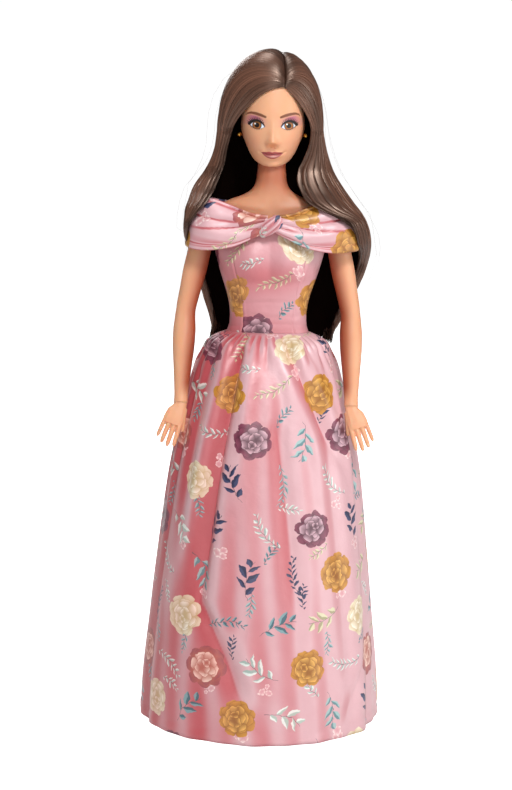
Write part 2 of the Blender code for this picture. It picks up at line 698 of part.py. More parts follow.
def arch(name, radius, span, leg_half, leg_drop, frame):
    """A round-topped tongue, or the slot for it, over a span of the frame's X axis, with legs down."""
    turns = [0.5 * math.pi - math.pi * i / LIMB_RING for i in range(LIMB_RING + 1)]
    step = -0.01 * radius
    outline = [(radius * math.sin(t), radius * math.cos(t)) for t in turns]
    outline += [(-leg_half, step), (-leg_half, -leg_drop), (leg_half, -leg_drop), (leg_half, step)]
    ends = [[frame @ Vector((x, y, z)) for y, z in outline] for x in span]
    return loft(name, ends, fans=False)


def hinge(upper, lower, frame, radius, bend, label, pin_finish):
    """Turns the meeting of two limbs into a tongue-and-fork hinge about the frame's X axis.

    bend is -1 where the lower limb folds forward and +1 where it folds back."""
    tongue = HINGE_TONGUE_SHARE * radius
    pin = HINGE_PIN_SHARE * radius
    wide = 0.96 * radius
    room = radius + GAP
    join(upper, cylinder(label + "_barrel", radius, -wide, wide, frame, LIMB_RING))
    disc = HINGE_DISC_SHARE * radius
    cut(upper, arch(label + "_slot", disc + GAP, (-tongue - GAP, tongue + GAP), room, 2 * room, frame))
    cut(lower, cylinder(label + "_cup", room, -2 * radius, 2 * radius, frame, LIMB_RING))
    reach = 2 * radius
    over = sorted((0, bend * reach))
    step = -HINGE_STEP_SHARE * radius
    cut(lower, block(label + "_relief", (-reach, over[0], step), (reach, over[1], reach), frame))
    back = sorted((0, -bend * reach))
    foot = -0.2 * radius
    cut(lower, block(label + "_clear", (-reach, back[0], foot), (reach, back[1], reach), frame))
    join(lower, arch(label + "_tongue", disc, (-tongue, tongue), 0.62 * disc, 1.35 * radius, frame))
    cut(lower, cylinder(label + "_tongue_hole", pin + PIN_GAP, -2 * radius, 2 * radius, frame))
    cut(upper, cylinder(label + "_cheek_hole", pin + PIN_GAP, -2 * radius, 2 * radius, frame))
    return cylinder(label + "_pin", pin, -0.9 * wide, 0.9 * wide, frame, SMALL_RING, pin_finish)


def hand(name, side, frame):
    """The hand: a palm with its back to the front, four fingers and a thumb towards the body."""
    rings = []
    for at, width, thick in PALM_SHARES:
        ring = []
        for i in range(SMALL_RING):
            s, c = rounded(2 * math.pi * i / SMALL_RING, 2.6)
            down = -GAP - at * PALM_LENGTH
            ring.append(Vector((s * width * PALM_HALF_WIDTH, -c * thick * PALM_HALF_THICK, down)))
        rings.append(ring)
    palm = loft(name, rings, "skin_vinyl")
    for k, (across, long, curl, thick) in enumerate(FINGER_SHARES):
        start = Vector((side * across * PALM_HALF_WIDTH, 0, -0.90 * PALM_LENGTH))
        fan = side * across * 0.10
        join(palm, digit(f"{name}_finger{k}", start, fan, long * FINGER_LENGTH, thick * FINGER_RADIUS, curl))
    start = Vector((-side * 0.58 * PALM_HALF_WIDTH, 0.02 * PALM_HALF_WIDTH, -0.31 * PALM_LENGTH))
    join(palm, digit(f"{name}_thumb", start, -side * 0.30, THUMB_LENGTH, 1.15 * FINGER_RADIUS, 0.05))
    down = Matrix.Rotation(math.radians(-90), 4, "Y")
    join(palm, cylinder(name + "_peg", WRIST_PEG_RADIUS, -2 * GAP, WRIST_PEG_LENGTH, down, 8))
    place_with_helpers(palm, frame)
    return palm


def digit(name, start, fan, length, radius, curl):
    """A finger from its knuckle, leaning by fan across the hand and curling back by curl turns."""
    rings = []
    at = Vector(start)
    steps = ((0.0, 1.02), (0.33, 1.00), (0.62, 0.94), (0.86, 0.84), (0.97, 0.58), (1.0, 0.25))
    lean = 0.0
    for k, (share, thick) in enumerate(steps):
        if k:
            step = (share - steps[k - 1][0]) * length
            lean += curl * 2 * math.pi * (share - steps[k - 1][0])
            at = at + step * Vector((math.sin(fan), math.sin(lean), -math.cos(fan) * math.cos(lean)))
        ring = []
        for i in range(8):
            t = 2 * math.pi * i / 8
            across = Vector((math.cos(fan), 0, math.sin(fan)))
            depth = Vector((0, math.cos(lean), math.sin(lean)))
            ring.append(at + thick * radius * (math.sin(t) * across - math.cos(t) * depth))
        rings.append(ring)
    return loft(name, rings)


def place_with_helpers(obj, frame):
    """Places a piece and the shapes that its Booleans use, all built in the piece's own frame."""
    for step in obj.modifiers:
        if step.type == "BOOLEAN":
            step.object.matrix_world = frame
    obj.matrix_world = frame


def arm_spread():
    """How far the upper arms lean out, so that the wrists hang clear of the skirt."""
    reach = FOREARM_LENGTH * math.cos(ELBOW_REST)
    wrist_z = SHOULDER_Z - UPPER_ARM_LENGTH - reach
    skirt_wide = between(SKIRT_SHARES, wrist_z / WAIST_Z)[0] * SKIRT_HEM_RADIUS
    out = skirt_wide + WRIST_CLEARANCE - SHOULDER_OUT
    along = UPPER_ARM_LENGTH + reach * math.cos(CARRY_ANGLE)
    across = reach * math.sin(CARRY_ANGLE)
    return math.atan2(across, along) + math.asin(out / math.hypot(along, across))


def arm(side, label):
    """Upper arm, forearm and hand on one side, with their pegs, pins and joints."""
    shoulder = limb_frame((side * SHOULDER_OUT, 0, SHOULDER_Z), (-side * arm_spread(), 0))
    elbow_frame = shoulder @ Matrix.Translation((0, 0, -UPPER_ARM_LENGTH))
    upper = limb("upper_arm_" + label, UPPER_ARM_SHARES, UPPER_ARM_LENGTH, UPPER_ARM_RADIUS, "skin_vinyl")
    place(upper, shoulder)
    level = Matrix.Translation((0, 0, SHOULDER_Z))
    inner_face = side * (ARMHOLE_OUT + GAP)
    flank = sorted((inner_face, 0))
    tall = 2 * ARMHOLE_RADIUS
    low, high = (flank[0], -tall, -UPPER_ARM_LENGTH), (flank[1], tall, tall)
    cut(upper, block(f"arm_flat_{label}", low, high, level))
    flange = side * (ARMHOLE_OUT - SHOULDER_FLANGE_BACK)
    end = flange - side * SHOULDER_FLANGE_THICK
    profile = (
        (end, 0.8 * SHOULDER_FLANGE_RADIUS),
        (flange, SHOULDER_FLANGE_RADIUS),
        (flange, SHOULDER_PEG_RADIUS),
        (side * SHOULDER_OUT, SHOULDER_PEG_RADIUS),
    )
    join(upper, turned(f"arm_peg_{label}", profile, level))
    turn = Matrix.Rotation(side * CARRY_ANGLE, 4, "Y") @ Matrix.Rotation(-ELBOW_REST, 4, "X")
    fore_frame = elbow_frame @ turn
    fore = limb("forearm_" + label, FOREARM_SHARES, FOREARM_LENGTH, FOREARM_RADIUS, "skin_vinyl")
    place(fore, fore_frame)
    hinge(upper, fore, elbow_frame, ELBOW_RADIUS, -1, "elbow_" + label, "hinge_plastic")
    wrist = fore_frame @ Matrix.Translation((0, 0, -FOREARM_LENGTH))
    upright = wrist @ Matrix.Rotation(math.radians(-90), 4, "Y")
    depth = WRIST_PEG_LENGTH + 2 * GAP
    cut(fore, cylinder(f"wrist_bore_{label}", WRIST_PEG_RADIUS + PIN_GAP, -OVERRUN, depth, upright))
    bend = Matrix.Rotation(-side * HAND_FLARE, 4, "Y") @ Matrix.Rotation(HAND_PITCH, 4, "X")
    hand_on_peg("hand_" + label, side, wrist, bend)


def hand_on_peg(name, side, wrist, bend):
    """The hand, flared outwards from its straight peg."""
    hand(name, side, wrist)
    obj = bpy.data.objects[name]
    for step in obj.modifiers:
        if not step.object.name.endswith("_peg"):
            shear(step.object.data, bend)
    shear(obj.data, bend)
    return obj


def shear(mesh, bend):
    """Bends the hand over the first part of its length, so that its wrist end stays square to its peg."""
    for vertex in mesh.vertices:
        share = min(1.0, max(0.0, -vertex.co.z / (0.5 * PALM_LENGTH)))
        turned = bend @ vertex.co
        ease = share * share * (3 - 2 * share)
        vertex.co = vertex.co.lerp(turned, ease)
    mesh.update()


def leg(side, label):
    """Thigh, shin with foot, knee pin and shoe on one side."""
    hip = Matrix.Translation((side * LEG_OUT, 0, HIP_Z))
    run = (KNEE_OUT - LEG_OUT) * side
    lean = math.atan2(run, THIGH_LENGTH)
    thigh_frame = hip @ Matrix.Rotation(-lean, 4, "Y")
    thigh = limb("thigh_" + label, THIGH_SHARES, THIGH_LENGTH, THIGH_RADIUS, "skin_vinyl")
    place(thigh, thigh_frame)
    level = Matrix.Translation((0, 0, HIP_Z))
    inside = side * (HIP_TONGUE_HALF_WIDTH + GAP)
    outside = side * (LEG_OUT + 0.86 * THIGH_RADIUS)
    past, clear = -side * LEG_OUT, inside + side * GAP
    cut(thigh, cylinder(f"thigh_inner_{label}", HIP_TONGUE_REACH, past, clear, level, RING))
    join(thigh, cylinder(f"hip_barrel_{label}", HIP_BARREL_RADIUS, inside, outside, level, RING, None))
    knee = Matrix.Translation((side * KNEE_OUT, 0, KNEE_Z))
    shin = lower_leg("shin_" + label, 0.0, "skin_vinyl", SHIN_SHARES, FOOT_SHARES)
    place(shin, knee)
    hole = HIP_AXLE_HALF_LENGTH + GAP
    cut(thigh, cylinder(f"hip_hole_{label}", HIP_AXLE_RADIUS + GAP, -side * OVERRUN, side * hole, level))
    hinge(thigh, shin, knee, KNEE_RADIUS, 1, "knee_" + label, "hinge_plastic")
    shoe("shoe_" + label, knee)


def lower_leg(name, grow, finish, shin_shares, foot_shares):
    """The shin and the arched foot, or a skin that far outside them."""
    rows = [(down * SHIN_LENGTH, *rest) for down, *rest in shin_shares]
    rows += [(SHIN_LENGTH + down * ANKLE_HEIGHT, *rest) for down, *rest in foot_shares]
    rings = []
    for down, ahead, across, deep, lean in rows:
        centre = Vector((0, -ahead * FOOT_LENGTH, -down))
        tilt = lean * 0.5 * math.pi
        ring = []
        for i in range(LIMB_RING):
            t = 2 * math.pi * i / LIMB_RING
            wide = (across * CALF_RADIUS + grow) * math.sin(t)
            thick = -(deep * CALF_RADIUS + grow) * math.cos(t)
            ring.append(centre + Vector((wide, thick * math.cos(tilt), -thick * math.sin(tilt))))
        rings.append(ring)
    return loft(name, rings, finish)


def shoe(name, knee):
    """A court shoe: a thin shell round the foot, open over the instep, with a sole and a slim heel."""
    last = FOOT_SHARES[-1]
    toe = (last[0], last[1] + 0.045, 0.5 * last[2], 0.5 * last[3], last[4])
    toe_room = (last[0], last[1] + GAP / FOOT_LENGTH, 0.9 * last[2], 0.9 * last[3], last[4])
    upper = lower_leg(name, SHOE_WALL + GAP, "shoe_plastic", (), FOOT_SHARES[1:] + (toe,))
    floor = -ANKLE_HEIGHT - SHIN_LENGTH
    outline = [(wide, ahead) for ahead, wide in SOLE_SHARES]
    outline += [(-wide, ahead) for ahead, wide in reversed(SOLE_SHARES)]
    levels = (floor, floor + 1.2 * SHOE_WALL)
    places = [(x * CALF_RADIUS, -y * FOOT_LENGTH) for x, y in outline]
    join(upper, loft(name + "_sole", [[Vector((x, y, z)) for x, y in places] for z in levels]))
    upright = Matrix.Rotation(math.radians(-90), 4, "Y")
    heel_frame = Matrix.Translation((0, -0.01 * FOOT_LENGTH, 0)) @ upright
    top = -SHIN_LENGTH - 0.284 * ANKLE_HEIGHT
    wide = 1.6 * SHOE_HEEL_RADIUS
    join(upper, turned(name + "_heel", ((floor, SHOE_HEEL_RADIUS), (top, wide)), heel_frame))
    cut(upper, lower_leg(name + "_foot_room", GAP, None, SHIN_SHARES[-1:], FOOT_SHARES + (toe_room,)))
    instep = Matrix.Translation((0, 0, -SHIN_LENGTH - 0.255 * ANKLE_HEIGHT))
    slope = instep @ Matrix.Rotation(math.radians(42), 4, "X")
    reach = 2 * CALF_RADIUS
    low, high = (-reach, -0.62 * FOOT_LENGTH, 0), (reach, FOOT_LENGTH, SHIN_LENGTH)
    cut(upper, block(name + "_throat", low, high, slope))
    place_with_helpers(upper, knee)
    return upper


def hip_axle():
    """The rod through the torso's tongue that carries both thighs."""
    half = HIP_AXLE_HALF_LENGTH
    level = Matrix.Translation((0, 0, HIP_Z))
    return cylinder("hip_axle", HIP_AXLE_RADIUS, -half, half, level, SMALL_RING, "steel")


def bodice_panel(name, start, stop):
    """A panel of the bodice between two seams, each given by its angle at the waist and at the top."""
    rows = 8
    columns = 7
    outer, inner = [], []
    for r in range(rows):
        share = r / (rows - 1)
        foot_z = WAIST_Z + GAP
        low = start[0] + (start[1] - start[0]) * share**1.4
        high = stop[0] + (stop[1] - stop[0]) * share**1.4
        angles = [low + (high - low) * c / (columns - 1) for c in range(columns)]
        heights = [foot_z + share * (BODICE_TOP_Z + BODICE_PEAK * bell(a, 0.34) - foot_z) for a in angles]
        outer.append([torso_point(a, z, BODICE_EASE + CLOTH) for a, z in zip(angles, heights)])
        inner.append([torso_point(a, z, BODICE_EASE) for a, z in zip(angles, heights)])
    return sheet(name, outer, inner, "gown_satin")


def bodice():
    """Five panels: a front between princess seams, two sides and two backs that meet at the centre back."""
    turn = 2 * math.pi
    half_seam = 0.003 * turn
    princess = (0.105 * turn, 0.118 * turn)
    side_seam = (0.25 * turn, 0.25 * turn)
    back_edge = (0.5 * turn - half_seam, 0.5 * turn - half_seam)
    inside = [a - half_seam for a in princess]
    bodice_panel("bodice_front", [-a for a in inside], inside)
    for side, label in ((1, "left"), (-1, "right")):
        front_edge = [side * (a + half_seam) for a in princess]
        under_arm = [side * (a - half_seam) for a in side_seam]
        bodice_panel("bodice_side_" + label, front_edge, under_arm)
        behind_arm = [side * (a + half_seam) for a in side_seam]
        bodice_panel("bodice_back_" + label, behind_arm, [side * a for a in back_edge])


def skirt_folds(angle, share, radius):
    """How far the long folds stand out at a place on the skirt, as a share of the hem radius."""
    lift = 0.0
    for start, stop, high, low, near, far, deep, crests, lean in SKIRT_FOLD_SHARES:
        t = min(1.0, max(0.0, (high - share) / (high - low)))
        width = near + (far - near) * t
        turn = (angle - start - (stop - start) * t + math.pi) % (2 * math.pi) - math.pi
        gap = turn * radius / width
        shown = ramp(share, low - 0.03, low + 0.16) * (1 - ramp(share, high - 0.05, high + 0.01))
        valley = math.exp(-((gap / (1 - math.copysign(lean, gap))) ** 2))
        crest = math.exp(-(((abs(gap) - 1.9) / 1.25) ** 2))
        lift += deep * shown * (crests * crest - valley)
    return lift


def skirt_point(angle, share, grow=0.0):
    """A point on the skirt at that share of the waist's height, with its folds and its gathers."""
    wide, front, back = between(SKIRT_SHARES, share)
    s, c = rounded(angle, 2.0)
    hem = SKIRT_HEM_RADIUS
    fall = 1 - share
    open_out = min(1.0, fall / 0.16)
    waves = 0.62 * math.cos(SKIRT_WAVES[0] * angle + 0.9) + 0.38 * math.cos(SKIRT_WAVES[1] * angle - 0.5)
    folds = skirt_folds(angle, share, math.hypot(s * wide, c * front))
    fold = SKIRT_WAVE_DEPTH * open_out * waves + hem * folds
    middle, spread = GATHER_SHARES
    gather = GATHER_DEPTH * bell(fall - middle, spread) * math.cos(SKIRT_GATHERS * angle)
    taper = min(1.0, fall / 0.012)
    out = grow + (fold + gather) * taper
    depth = front if c > 0 else back
    return Vector((s * (wide * hem + out), -c * (depth * hem + out), 0))


def skirt_panel(name, start, stop, columns):
    """A gore of the gathered skirt between two seams of constant width."""
    levels = (0.0, 0.018, 0.20, 0.42, 0.61, 0.77, 0.89, 0.945, 0.980, 1.0)
    outer, inner = [], []
    for share in levels:
        z = share * WAIST_Z
        outer_row, inner_row = [], []
        for c in range(columns + 1):
            angle = start + (stop - start) * c / columns
            if c in (0, columns):
                wide = skirt_point(angle, share, -CLOTH).length
                angle += math.copysign(SEAM / wide, stop - start) * (1 if c == 0 else -1)
            outer_row.append(skirt_point(angle, share) + Vector((0, 0, z)))
            inner_row.append(skirt_point(angle, share, -CLOTH) + Vector((0, 0, z)))
        outer.append(outer_row)
        inner.append(inner_row)
    return sheet(name, outer, inner, "gown_satin")


def skirt():
    """A front gore and two back gores, with the seams at the sides and the centre back."""
    quarter = 0.5 * math.pi
    skirt_panel("skirt_front", -quarter, quarter, SKIRT_RING // 2)
    skirt_panel("skirt_back_left", quarter, 2 * quarter, SKIRT_RING // 4)
    skirt_panel("skirt_back_right", -quarter, -2 * quarter, SKIRT_RING // 4)


def band_point(row, v, side, grow=0.0):
    """A point on the draped band at one of its rows, v from its top edge 0 to its foot 1."""
    foot_z = BODICE_TOP_Z - 0.14 * BAND_HEIGHT
    corners = []
    for x, y, z in row[1:]:
        depth = BAND_FRONT if y < 0 else BAND_BACK
        corners.append(Vector((side * x * BAND_HALF_WIDTH, y * depth, foot_z + z * BAND_HEIGHT)))
    top, middle, foot = corners
    control = 2 * middle - 0.5 * (top + foot)
    point = (1 - v) ** 2 * top + 2 * v * (1 - v) * control + v**2 * foot
    out = Vector((point.x / BAND_HALF_WIDTH**2, point.y / BAND_FRONT**2, 0.25 * (1 - v) / BAND_HEIGHT))
    return point + grow * out.normalized()


def band(side, label):
    """Half of the draped off-the-shoulder band, from the twist at the front to the opening at the back."""
    rows = []
    steps = 18
    for i in range(steps + 1):
        u = i / steps
        for k in range(len(BAND_SHARES) - 1):
            if u <= BAND_SHARES[k + 1][0]:
                break
        low, high = BAND_SHARES[k], BAND_SHARES[k + 1]
        t = (u - low[0]) / (high[0] - low[0])
        corners = zip(low[1:], high[1:])
        rows.append((u, *[tuple(a + (b - a) * t for a, b in zip(p, q)) for p, q in corners]))
    heights = [v / 5 for v in range(6)]
    outer = [[band_point(row, v, side, CLOTH) for v in heights] for row in rows]
    inner = [[band_point(row, v, side) for v in heights] for row in rows]
    return sheet("band_" + label, outer, inner, "gown_satin")


def band_twist():
    """The knot of cloth where the two halves of the band cross at the centre front."""
    foot_z = BODICE_TOP_Z - 0.14 * BAND_HEIGHT
    rings = []
    for share, wide, thick in KNOT_SHARES:
        z = foot_z + (0.30 + 0.46 * share) * BAND_HEIGHT
        lean = (share - 0.5) * 1.6 * KNOT_HALF_WIDTH
        depth = 1.05 * BAND_FRONT + CLOTH + GAP + thick * KNOT_THICK - 0.14 * share * BAND_FRONT
        ring = []
        for i in range(SMALL_RING):
            s, c = rounded(2 * math.pi * i / SMALL_RING, 2.0)
            ring.append(Vector((lean + s * wide * KNOT_HALF_WIDTH, -depth - c * thick * KNOT_THICK, z)))
        rings.append(ring)
    return loft("band_twist", rings, "gown_satin")


def back_strip(name, start, stop, layer, thick, finish):
    """An upright strip over the centre back opening, between two places across it."""
    rows = 5
    outer, inner = [], []
    half = CHEST_HALF_WIDTH * between(TORSO_SHARES, 0.5)[0]
    for r in range(rows):
        z = WAIST_Z + 2 * GAP + CLOSURE_SHARE * (BODICE_TOP_Z - WAIST_Z) * r / (rows - 1)
        row_out, row_in = [], []
        for c in range(4):
            x = start + (stop - start) * c / 3
            skin = torso_point(math.pi - math.asin(x / half), z, BODICE_EASE + CLOTH + GAP + layer)
            row_out.append(Vector((x, skin.y + thick, z)))
            row_in.append(Vector((x, skin.y, z)))
        outer.append(row_out)
        inner.append(row_in)
    return sheet(name, outer, inner, finish)


def closure():
    """Loop tape on the left back, hook tape on it, and the flap of the right back that covers both."""
    edge = 0.3 * CLOSURE_WIDTH
    back_strip("closure_loop", edge, CLOSURE_WIDTH, 0.0, TAPE, "fastener_tape")
    back_strip("closure_hook", edge, CLOSURE_WIDTH, TAPE + GAP, TAPE, "fastener_tape")
    low, high = -0.6 * CLOSURE_WIDTH, 1.1 * CLOSURE_WIDTH
    back_strip("closure_flap", low, high, 2 * (TAPE + GAP), CLOTH, "gown_satin")


def crown_hair():
    """The rooted hair over the skull, parted on the doll's left, as one closed cap."""
    base = HEAD_CENTRE_Z - 0.20 * JAW_DROP
    rings = []
    for share, right, left, front, back in CROWN_SHARES:
        ring = []
        for i in range(RING + 4):
            s, c = rounded(2 * math.pi * i / (RING + 4), 2.15)
            wide = (left if s > 0 else right) * HAIR_HALF_WIDTH
            deep = (front if c > 0 else back) * HAIR_HALF_WIDTH
            ring.append(Vector((s * wide, -c * deep, base + share * HAIR_RISE)))
        rings.append(ring)
    cap = loft("hair_crown", rings, "hair_fibre")
    cut(cap, loft("hair_crown_skull", head_rings(16, 22, 0.0, 2.3 * GAP)))
    outline = []
    for x, z in FACE_OPENING_SHARES:
        outline.append((x * HEAD_HALF_WIDTH, HEAD_CENTRE_Z + z * CROWN_RISE))
    deep = 2 * HAIR_HALF_WIDTH
    back = -0.15 * HEAD_FRONT
    ends = [[Vector((x, y, z)) for x, z in outline] for y in (-deep, back)]
    cut(cap, loft("face_opening", ends, fans=False))
    part = []
    for x, y, z in PART_SHARES:
        middle = Vector((x * HEAD_HALF_WIDTH, -y * HEAD_FRONT, HEAD_CENTRE_Z + z * CROWN_RISE))
        wide, tall = PART_WIDTH, 3 * PART_WIDTH
        part.append([middle + Vector(p) for p in ((0, 0, 0), (wide, 0, tall), (-wide, 0, tall))])
    cut(cap, loft("part_groove", part))
    return cap


def fall_point(angle, share, inside=0.0):
    """A point on the falling hair, outside at 0 and on its inner face at 1.

    Angle runs from -1 at the right front edge round the back to 1 at the left front edge."""
    right, left, back, edge, thick_right, thick_left = between(FALL_SHARES, share)
    s, c = rounded(angle * math.pi / 2, 2.15 + 0.85 * min(1.0, share / 0.3))
    wide = (left if s > 0 else right) * HAIR_HALF_WIDTH
    side_thick = (thick_left if s > 0 else thick_right) * HAIR_HALF_WIDTH
    deep, front = back * HAIR_HALF_WIDTH, edge * HAIR_HALF_WIDTH
    wave = HAIR_LOCK_DEPTH * math.cos(13 * angle * math.pi / 2) * min(1.0, 3 * share)
    back_thick = min(HAIR_THICK, 0.5 * (side_thick + HAIR_THICK))
    thick = back_thick + (side_thick - back_thick) * abs(s) ** 4
    out = wave * (1 - inside) - thick * inside
    z = HEAD_CENTRE_Z - 0.20 * JAW_DROP - GAP - share * HAIR_LENGTH
    return Vector((s * (wide + out), front + c * (deep - front + out), z))


def hair_fall():
    """The long hair that falls behind and beside the shoulders, in five locks."""
    edges = [-1.0, *HAIR_FRONT_SHARES, 1.0]
    names = ("hair_side_right", "hair_back_right", "hair_back", "hair_back_left", "hair_side_left")
    seam = 0.6 * GAP / HAIR_HALF_WIDTH
    columns = 5
    for name, start, stop in zip(names, edges, edges[1:]):
        outer, inner = [], []
        for share in FALL_LEVEL_SHARES:
            run = stop - start - 2 * seam
            angles = [start + seam + run * c / columns for c in range(columns + 1)]
            outer.append([fall_point(a, share) for a in angles])
            inner.append([fall_point(a, share, 1.0) for a in angles])
        sheet(name, outer, inner, "hair_fibre")


def build():
    clear_scene()
    torso_half("torso_front", True)
    torso_half("torso_back", False)
    neck_knob()
    hip_axle()
    head()
    for side, label in ((1, "left"), (-1, "right")):
        earring(side, "earring_" + label)
        arm(side, label)
        leg(side, label)
        band(side, label)
    bodice()
    skirt()
    band_twist()
    closure()
    crown_hair()
    hair_fall()


build()
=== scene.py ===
"""A jointed fashion doll with long parted hair in a floral satin gown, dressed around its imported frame."""

import json
import math

import bpy
import numpy as np
from mathutils import Matrix, Vector
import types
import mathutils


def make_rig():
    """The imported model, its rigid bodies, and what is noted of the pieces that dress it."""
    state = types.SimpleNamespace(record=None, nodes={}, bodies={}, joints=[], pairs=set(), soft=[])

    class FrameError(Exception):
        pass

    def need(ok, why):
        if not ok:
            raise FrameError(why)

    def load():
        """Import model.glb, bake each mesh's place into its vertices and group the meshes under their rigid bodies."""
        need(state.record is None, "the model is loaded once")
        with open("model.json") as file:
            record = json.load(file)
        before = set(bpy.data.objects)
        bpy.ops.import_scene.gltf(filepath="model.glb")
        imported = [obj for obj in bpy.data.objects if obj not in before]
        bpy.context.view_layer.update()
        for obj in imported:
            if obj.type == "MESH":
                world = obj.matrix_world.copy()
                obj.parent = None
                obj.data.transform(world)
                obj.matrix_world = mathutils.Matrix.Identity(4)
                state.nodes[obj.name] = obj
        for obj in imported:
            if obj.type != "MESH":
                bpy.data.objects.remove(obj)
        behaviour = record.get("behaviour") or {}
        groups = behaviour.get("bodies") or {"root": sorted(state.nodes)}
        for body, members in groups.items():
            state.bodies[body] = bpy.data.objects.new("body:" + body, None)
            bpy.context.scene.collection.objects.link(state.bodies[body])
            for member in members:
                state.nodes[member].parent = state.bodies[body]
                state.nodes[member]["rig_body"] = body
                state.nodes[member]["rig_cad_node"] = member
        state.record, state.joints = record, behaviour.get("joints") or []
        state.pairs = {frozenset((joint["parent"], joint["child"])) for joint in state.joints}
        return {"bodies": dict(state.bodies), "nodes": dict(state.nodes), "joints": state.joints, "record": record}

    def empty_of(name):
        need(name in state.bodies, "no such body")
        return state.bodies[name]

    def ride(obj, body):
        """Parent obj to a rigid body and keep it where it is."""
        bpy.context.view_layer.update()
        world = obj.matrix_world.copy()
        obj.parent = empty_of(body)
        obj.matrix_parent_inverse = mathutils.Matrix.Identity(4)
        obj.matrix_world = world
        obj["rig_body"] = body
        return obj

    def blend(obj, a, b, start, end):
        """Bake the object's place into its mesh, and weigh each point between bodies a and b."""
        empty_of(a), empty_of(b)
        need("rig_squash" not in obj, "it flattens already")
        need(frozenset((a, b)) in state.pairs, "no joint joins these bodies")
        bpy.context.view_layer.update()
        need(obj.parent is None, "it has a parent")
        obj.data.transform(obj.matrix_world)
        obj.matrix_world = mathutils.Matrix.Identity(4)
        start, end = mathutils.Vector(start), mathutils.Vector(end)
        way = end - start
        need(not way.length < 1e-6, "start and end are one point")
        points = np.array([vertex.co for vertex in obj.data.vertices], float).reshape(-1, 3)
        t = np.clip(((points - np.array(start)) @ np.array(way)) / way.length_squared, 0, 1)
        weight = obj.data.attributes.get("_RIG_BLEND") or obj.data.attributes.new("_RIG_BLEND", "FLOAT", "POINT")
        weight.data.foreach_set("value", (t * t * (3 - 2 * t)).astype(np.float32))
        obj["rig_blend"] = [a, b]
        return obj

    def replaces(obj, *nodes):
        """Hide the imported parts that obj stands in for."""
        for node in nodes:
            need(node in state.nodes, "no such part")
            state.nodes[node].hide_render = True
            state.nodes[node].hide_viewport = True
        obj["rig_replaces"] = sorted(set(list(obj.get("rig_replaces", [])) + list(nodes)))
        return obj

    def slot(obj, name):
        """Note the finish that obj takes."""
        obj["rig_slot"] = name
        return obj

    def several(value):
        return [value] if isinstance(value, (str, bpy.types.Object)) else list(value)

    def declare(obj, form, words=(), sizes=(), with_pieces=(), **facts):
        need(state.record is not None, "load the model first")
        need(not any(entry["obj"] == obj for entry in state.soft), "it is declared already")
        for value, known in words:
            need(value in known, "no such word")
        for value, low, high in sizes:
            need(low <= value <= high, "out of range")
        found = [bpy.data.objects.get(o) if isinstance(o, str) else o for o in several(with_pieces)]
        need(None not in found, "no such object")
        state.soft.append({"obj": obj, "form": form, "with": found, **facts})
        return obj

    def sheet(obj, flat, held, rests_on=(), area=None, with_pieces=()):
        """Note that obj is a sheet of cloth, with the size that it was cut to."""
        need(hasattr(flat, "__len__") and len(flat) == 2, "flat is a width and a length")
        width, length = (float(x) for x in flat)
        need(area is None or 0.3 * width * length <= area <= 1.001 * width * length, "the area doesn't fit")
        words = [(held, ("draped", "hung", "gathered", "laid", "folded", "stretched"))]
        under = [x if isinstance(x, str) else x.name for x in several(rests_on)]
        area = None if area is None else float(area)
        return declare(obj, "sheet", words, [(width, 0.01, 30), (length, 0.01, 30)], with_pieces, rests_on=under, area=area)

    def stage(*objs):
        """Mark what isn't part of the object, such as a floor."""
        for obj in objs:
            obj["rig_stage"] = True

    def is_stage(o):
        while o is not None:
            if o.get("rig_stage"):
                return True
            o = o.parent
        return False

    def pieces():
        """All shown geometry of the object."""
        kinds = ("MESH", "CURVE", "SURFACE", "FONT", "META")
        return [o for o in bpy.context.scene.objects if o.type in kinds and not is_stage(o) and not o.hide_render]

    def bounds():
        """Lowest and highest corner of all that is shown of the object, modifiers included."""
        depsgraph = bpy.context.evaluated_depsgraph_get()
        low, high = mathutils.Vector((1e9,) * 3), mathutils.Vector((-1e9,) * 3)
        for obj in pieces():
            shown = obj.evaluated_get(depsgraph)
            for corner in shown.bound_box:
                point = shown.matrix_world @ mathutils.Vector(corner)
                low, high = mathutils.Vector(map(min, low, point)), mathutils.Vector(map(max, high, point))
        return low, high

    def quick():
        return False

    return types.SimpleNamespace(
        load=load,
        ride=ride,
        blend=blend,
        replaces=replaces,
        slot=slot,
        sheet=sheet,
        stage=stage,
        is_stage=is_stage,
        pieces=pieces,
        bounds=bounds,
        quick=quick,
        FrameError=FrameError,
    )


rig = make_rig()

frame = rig.load()
CAD_BOX = [list(corner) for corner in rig.bounds()]

# Sizes in metres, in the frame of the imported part: +Z up, the doll faces -Y, its left is +X
WAIST_Z = 0.174475
TORSO_BASE_Z = 0.1345
TORSO_HEIGHT = 0.1230
CHEST_HALF_WIDTH = 0.0230
CHEST_FRONT = 0.0100
CHEST_BACK = 0.0090
BUST_FULLNESS = 0.0034
BUST_SPREAD = 0.0088
BUST_Z = TORSO_BASE_Z + 0.585 * TORSO_HEIGHT
BODICE_TOP_Z = TORSO_BASE_Z + 0.648 * TORSO_HEIGHT
BODICE_EASE = 0.0006
CLOTH = 0.0008
HEM_RADIUS = 0.0523
WAVE_DEPTH = 0.0006
SKIRT_DROP = 0.180
HEM_STITCH_Z = 0.0042
BAND_CUT = 0.024
EDGE_BLUR = 0.07
BODICE_PEAK = 0.0075
BAND_HALF_WIDTH = 0.0378
BAND_HEIGHT = 0.0215
BAND_FOOT_Z = BODICE_TOP_Z - 0.14 * BAND_HEIGHT
BAND_FRONT = 0.0142
BAND_BACK = 0.0122
HEAD_HALF_WIDTH = 0.0136
HEAD_FRONT = 0.0146
HEAD_BACK = 0.0160
CROWN_RISE = 0.0285
JAW_DROP = 0.0205
CHIN_SHARE = 1.12
JAW_SLOPE = 0.52
HEAD_CENTRE_Z = 0.26795
HAIR_HALF_WIDTH = 0.0240
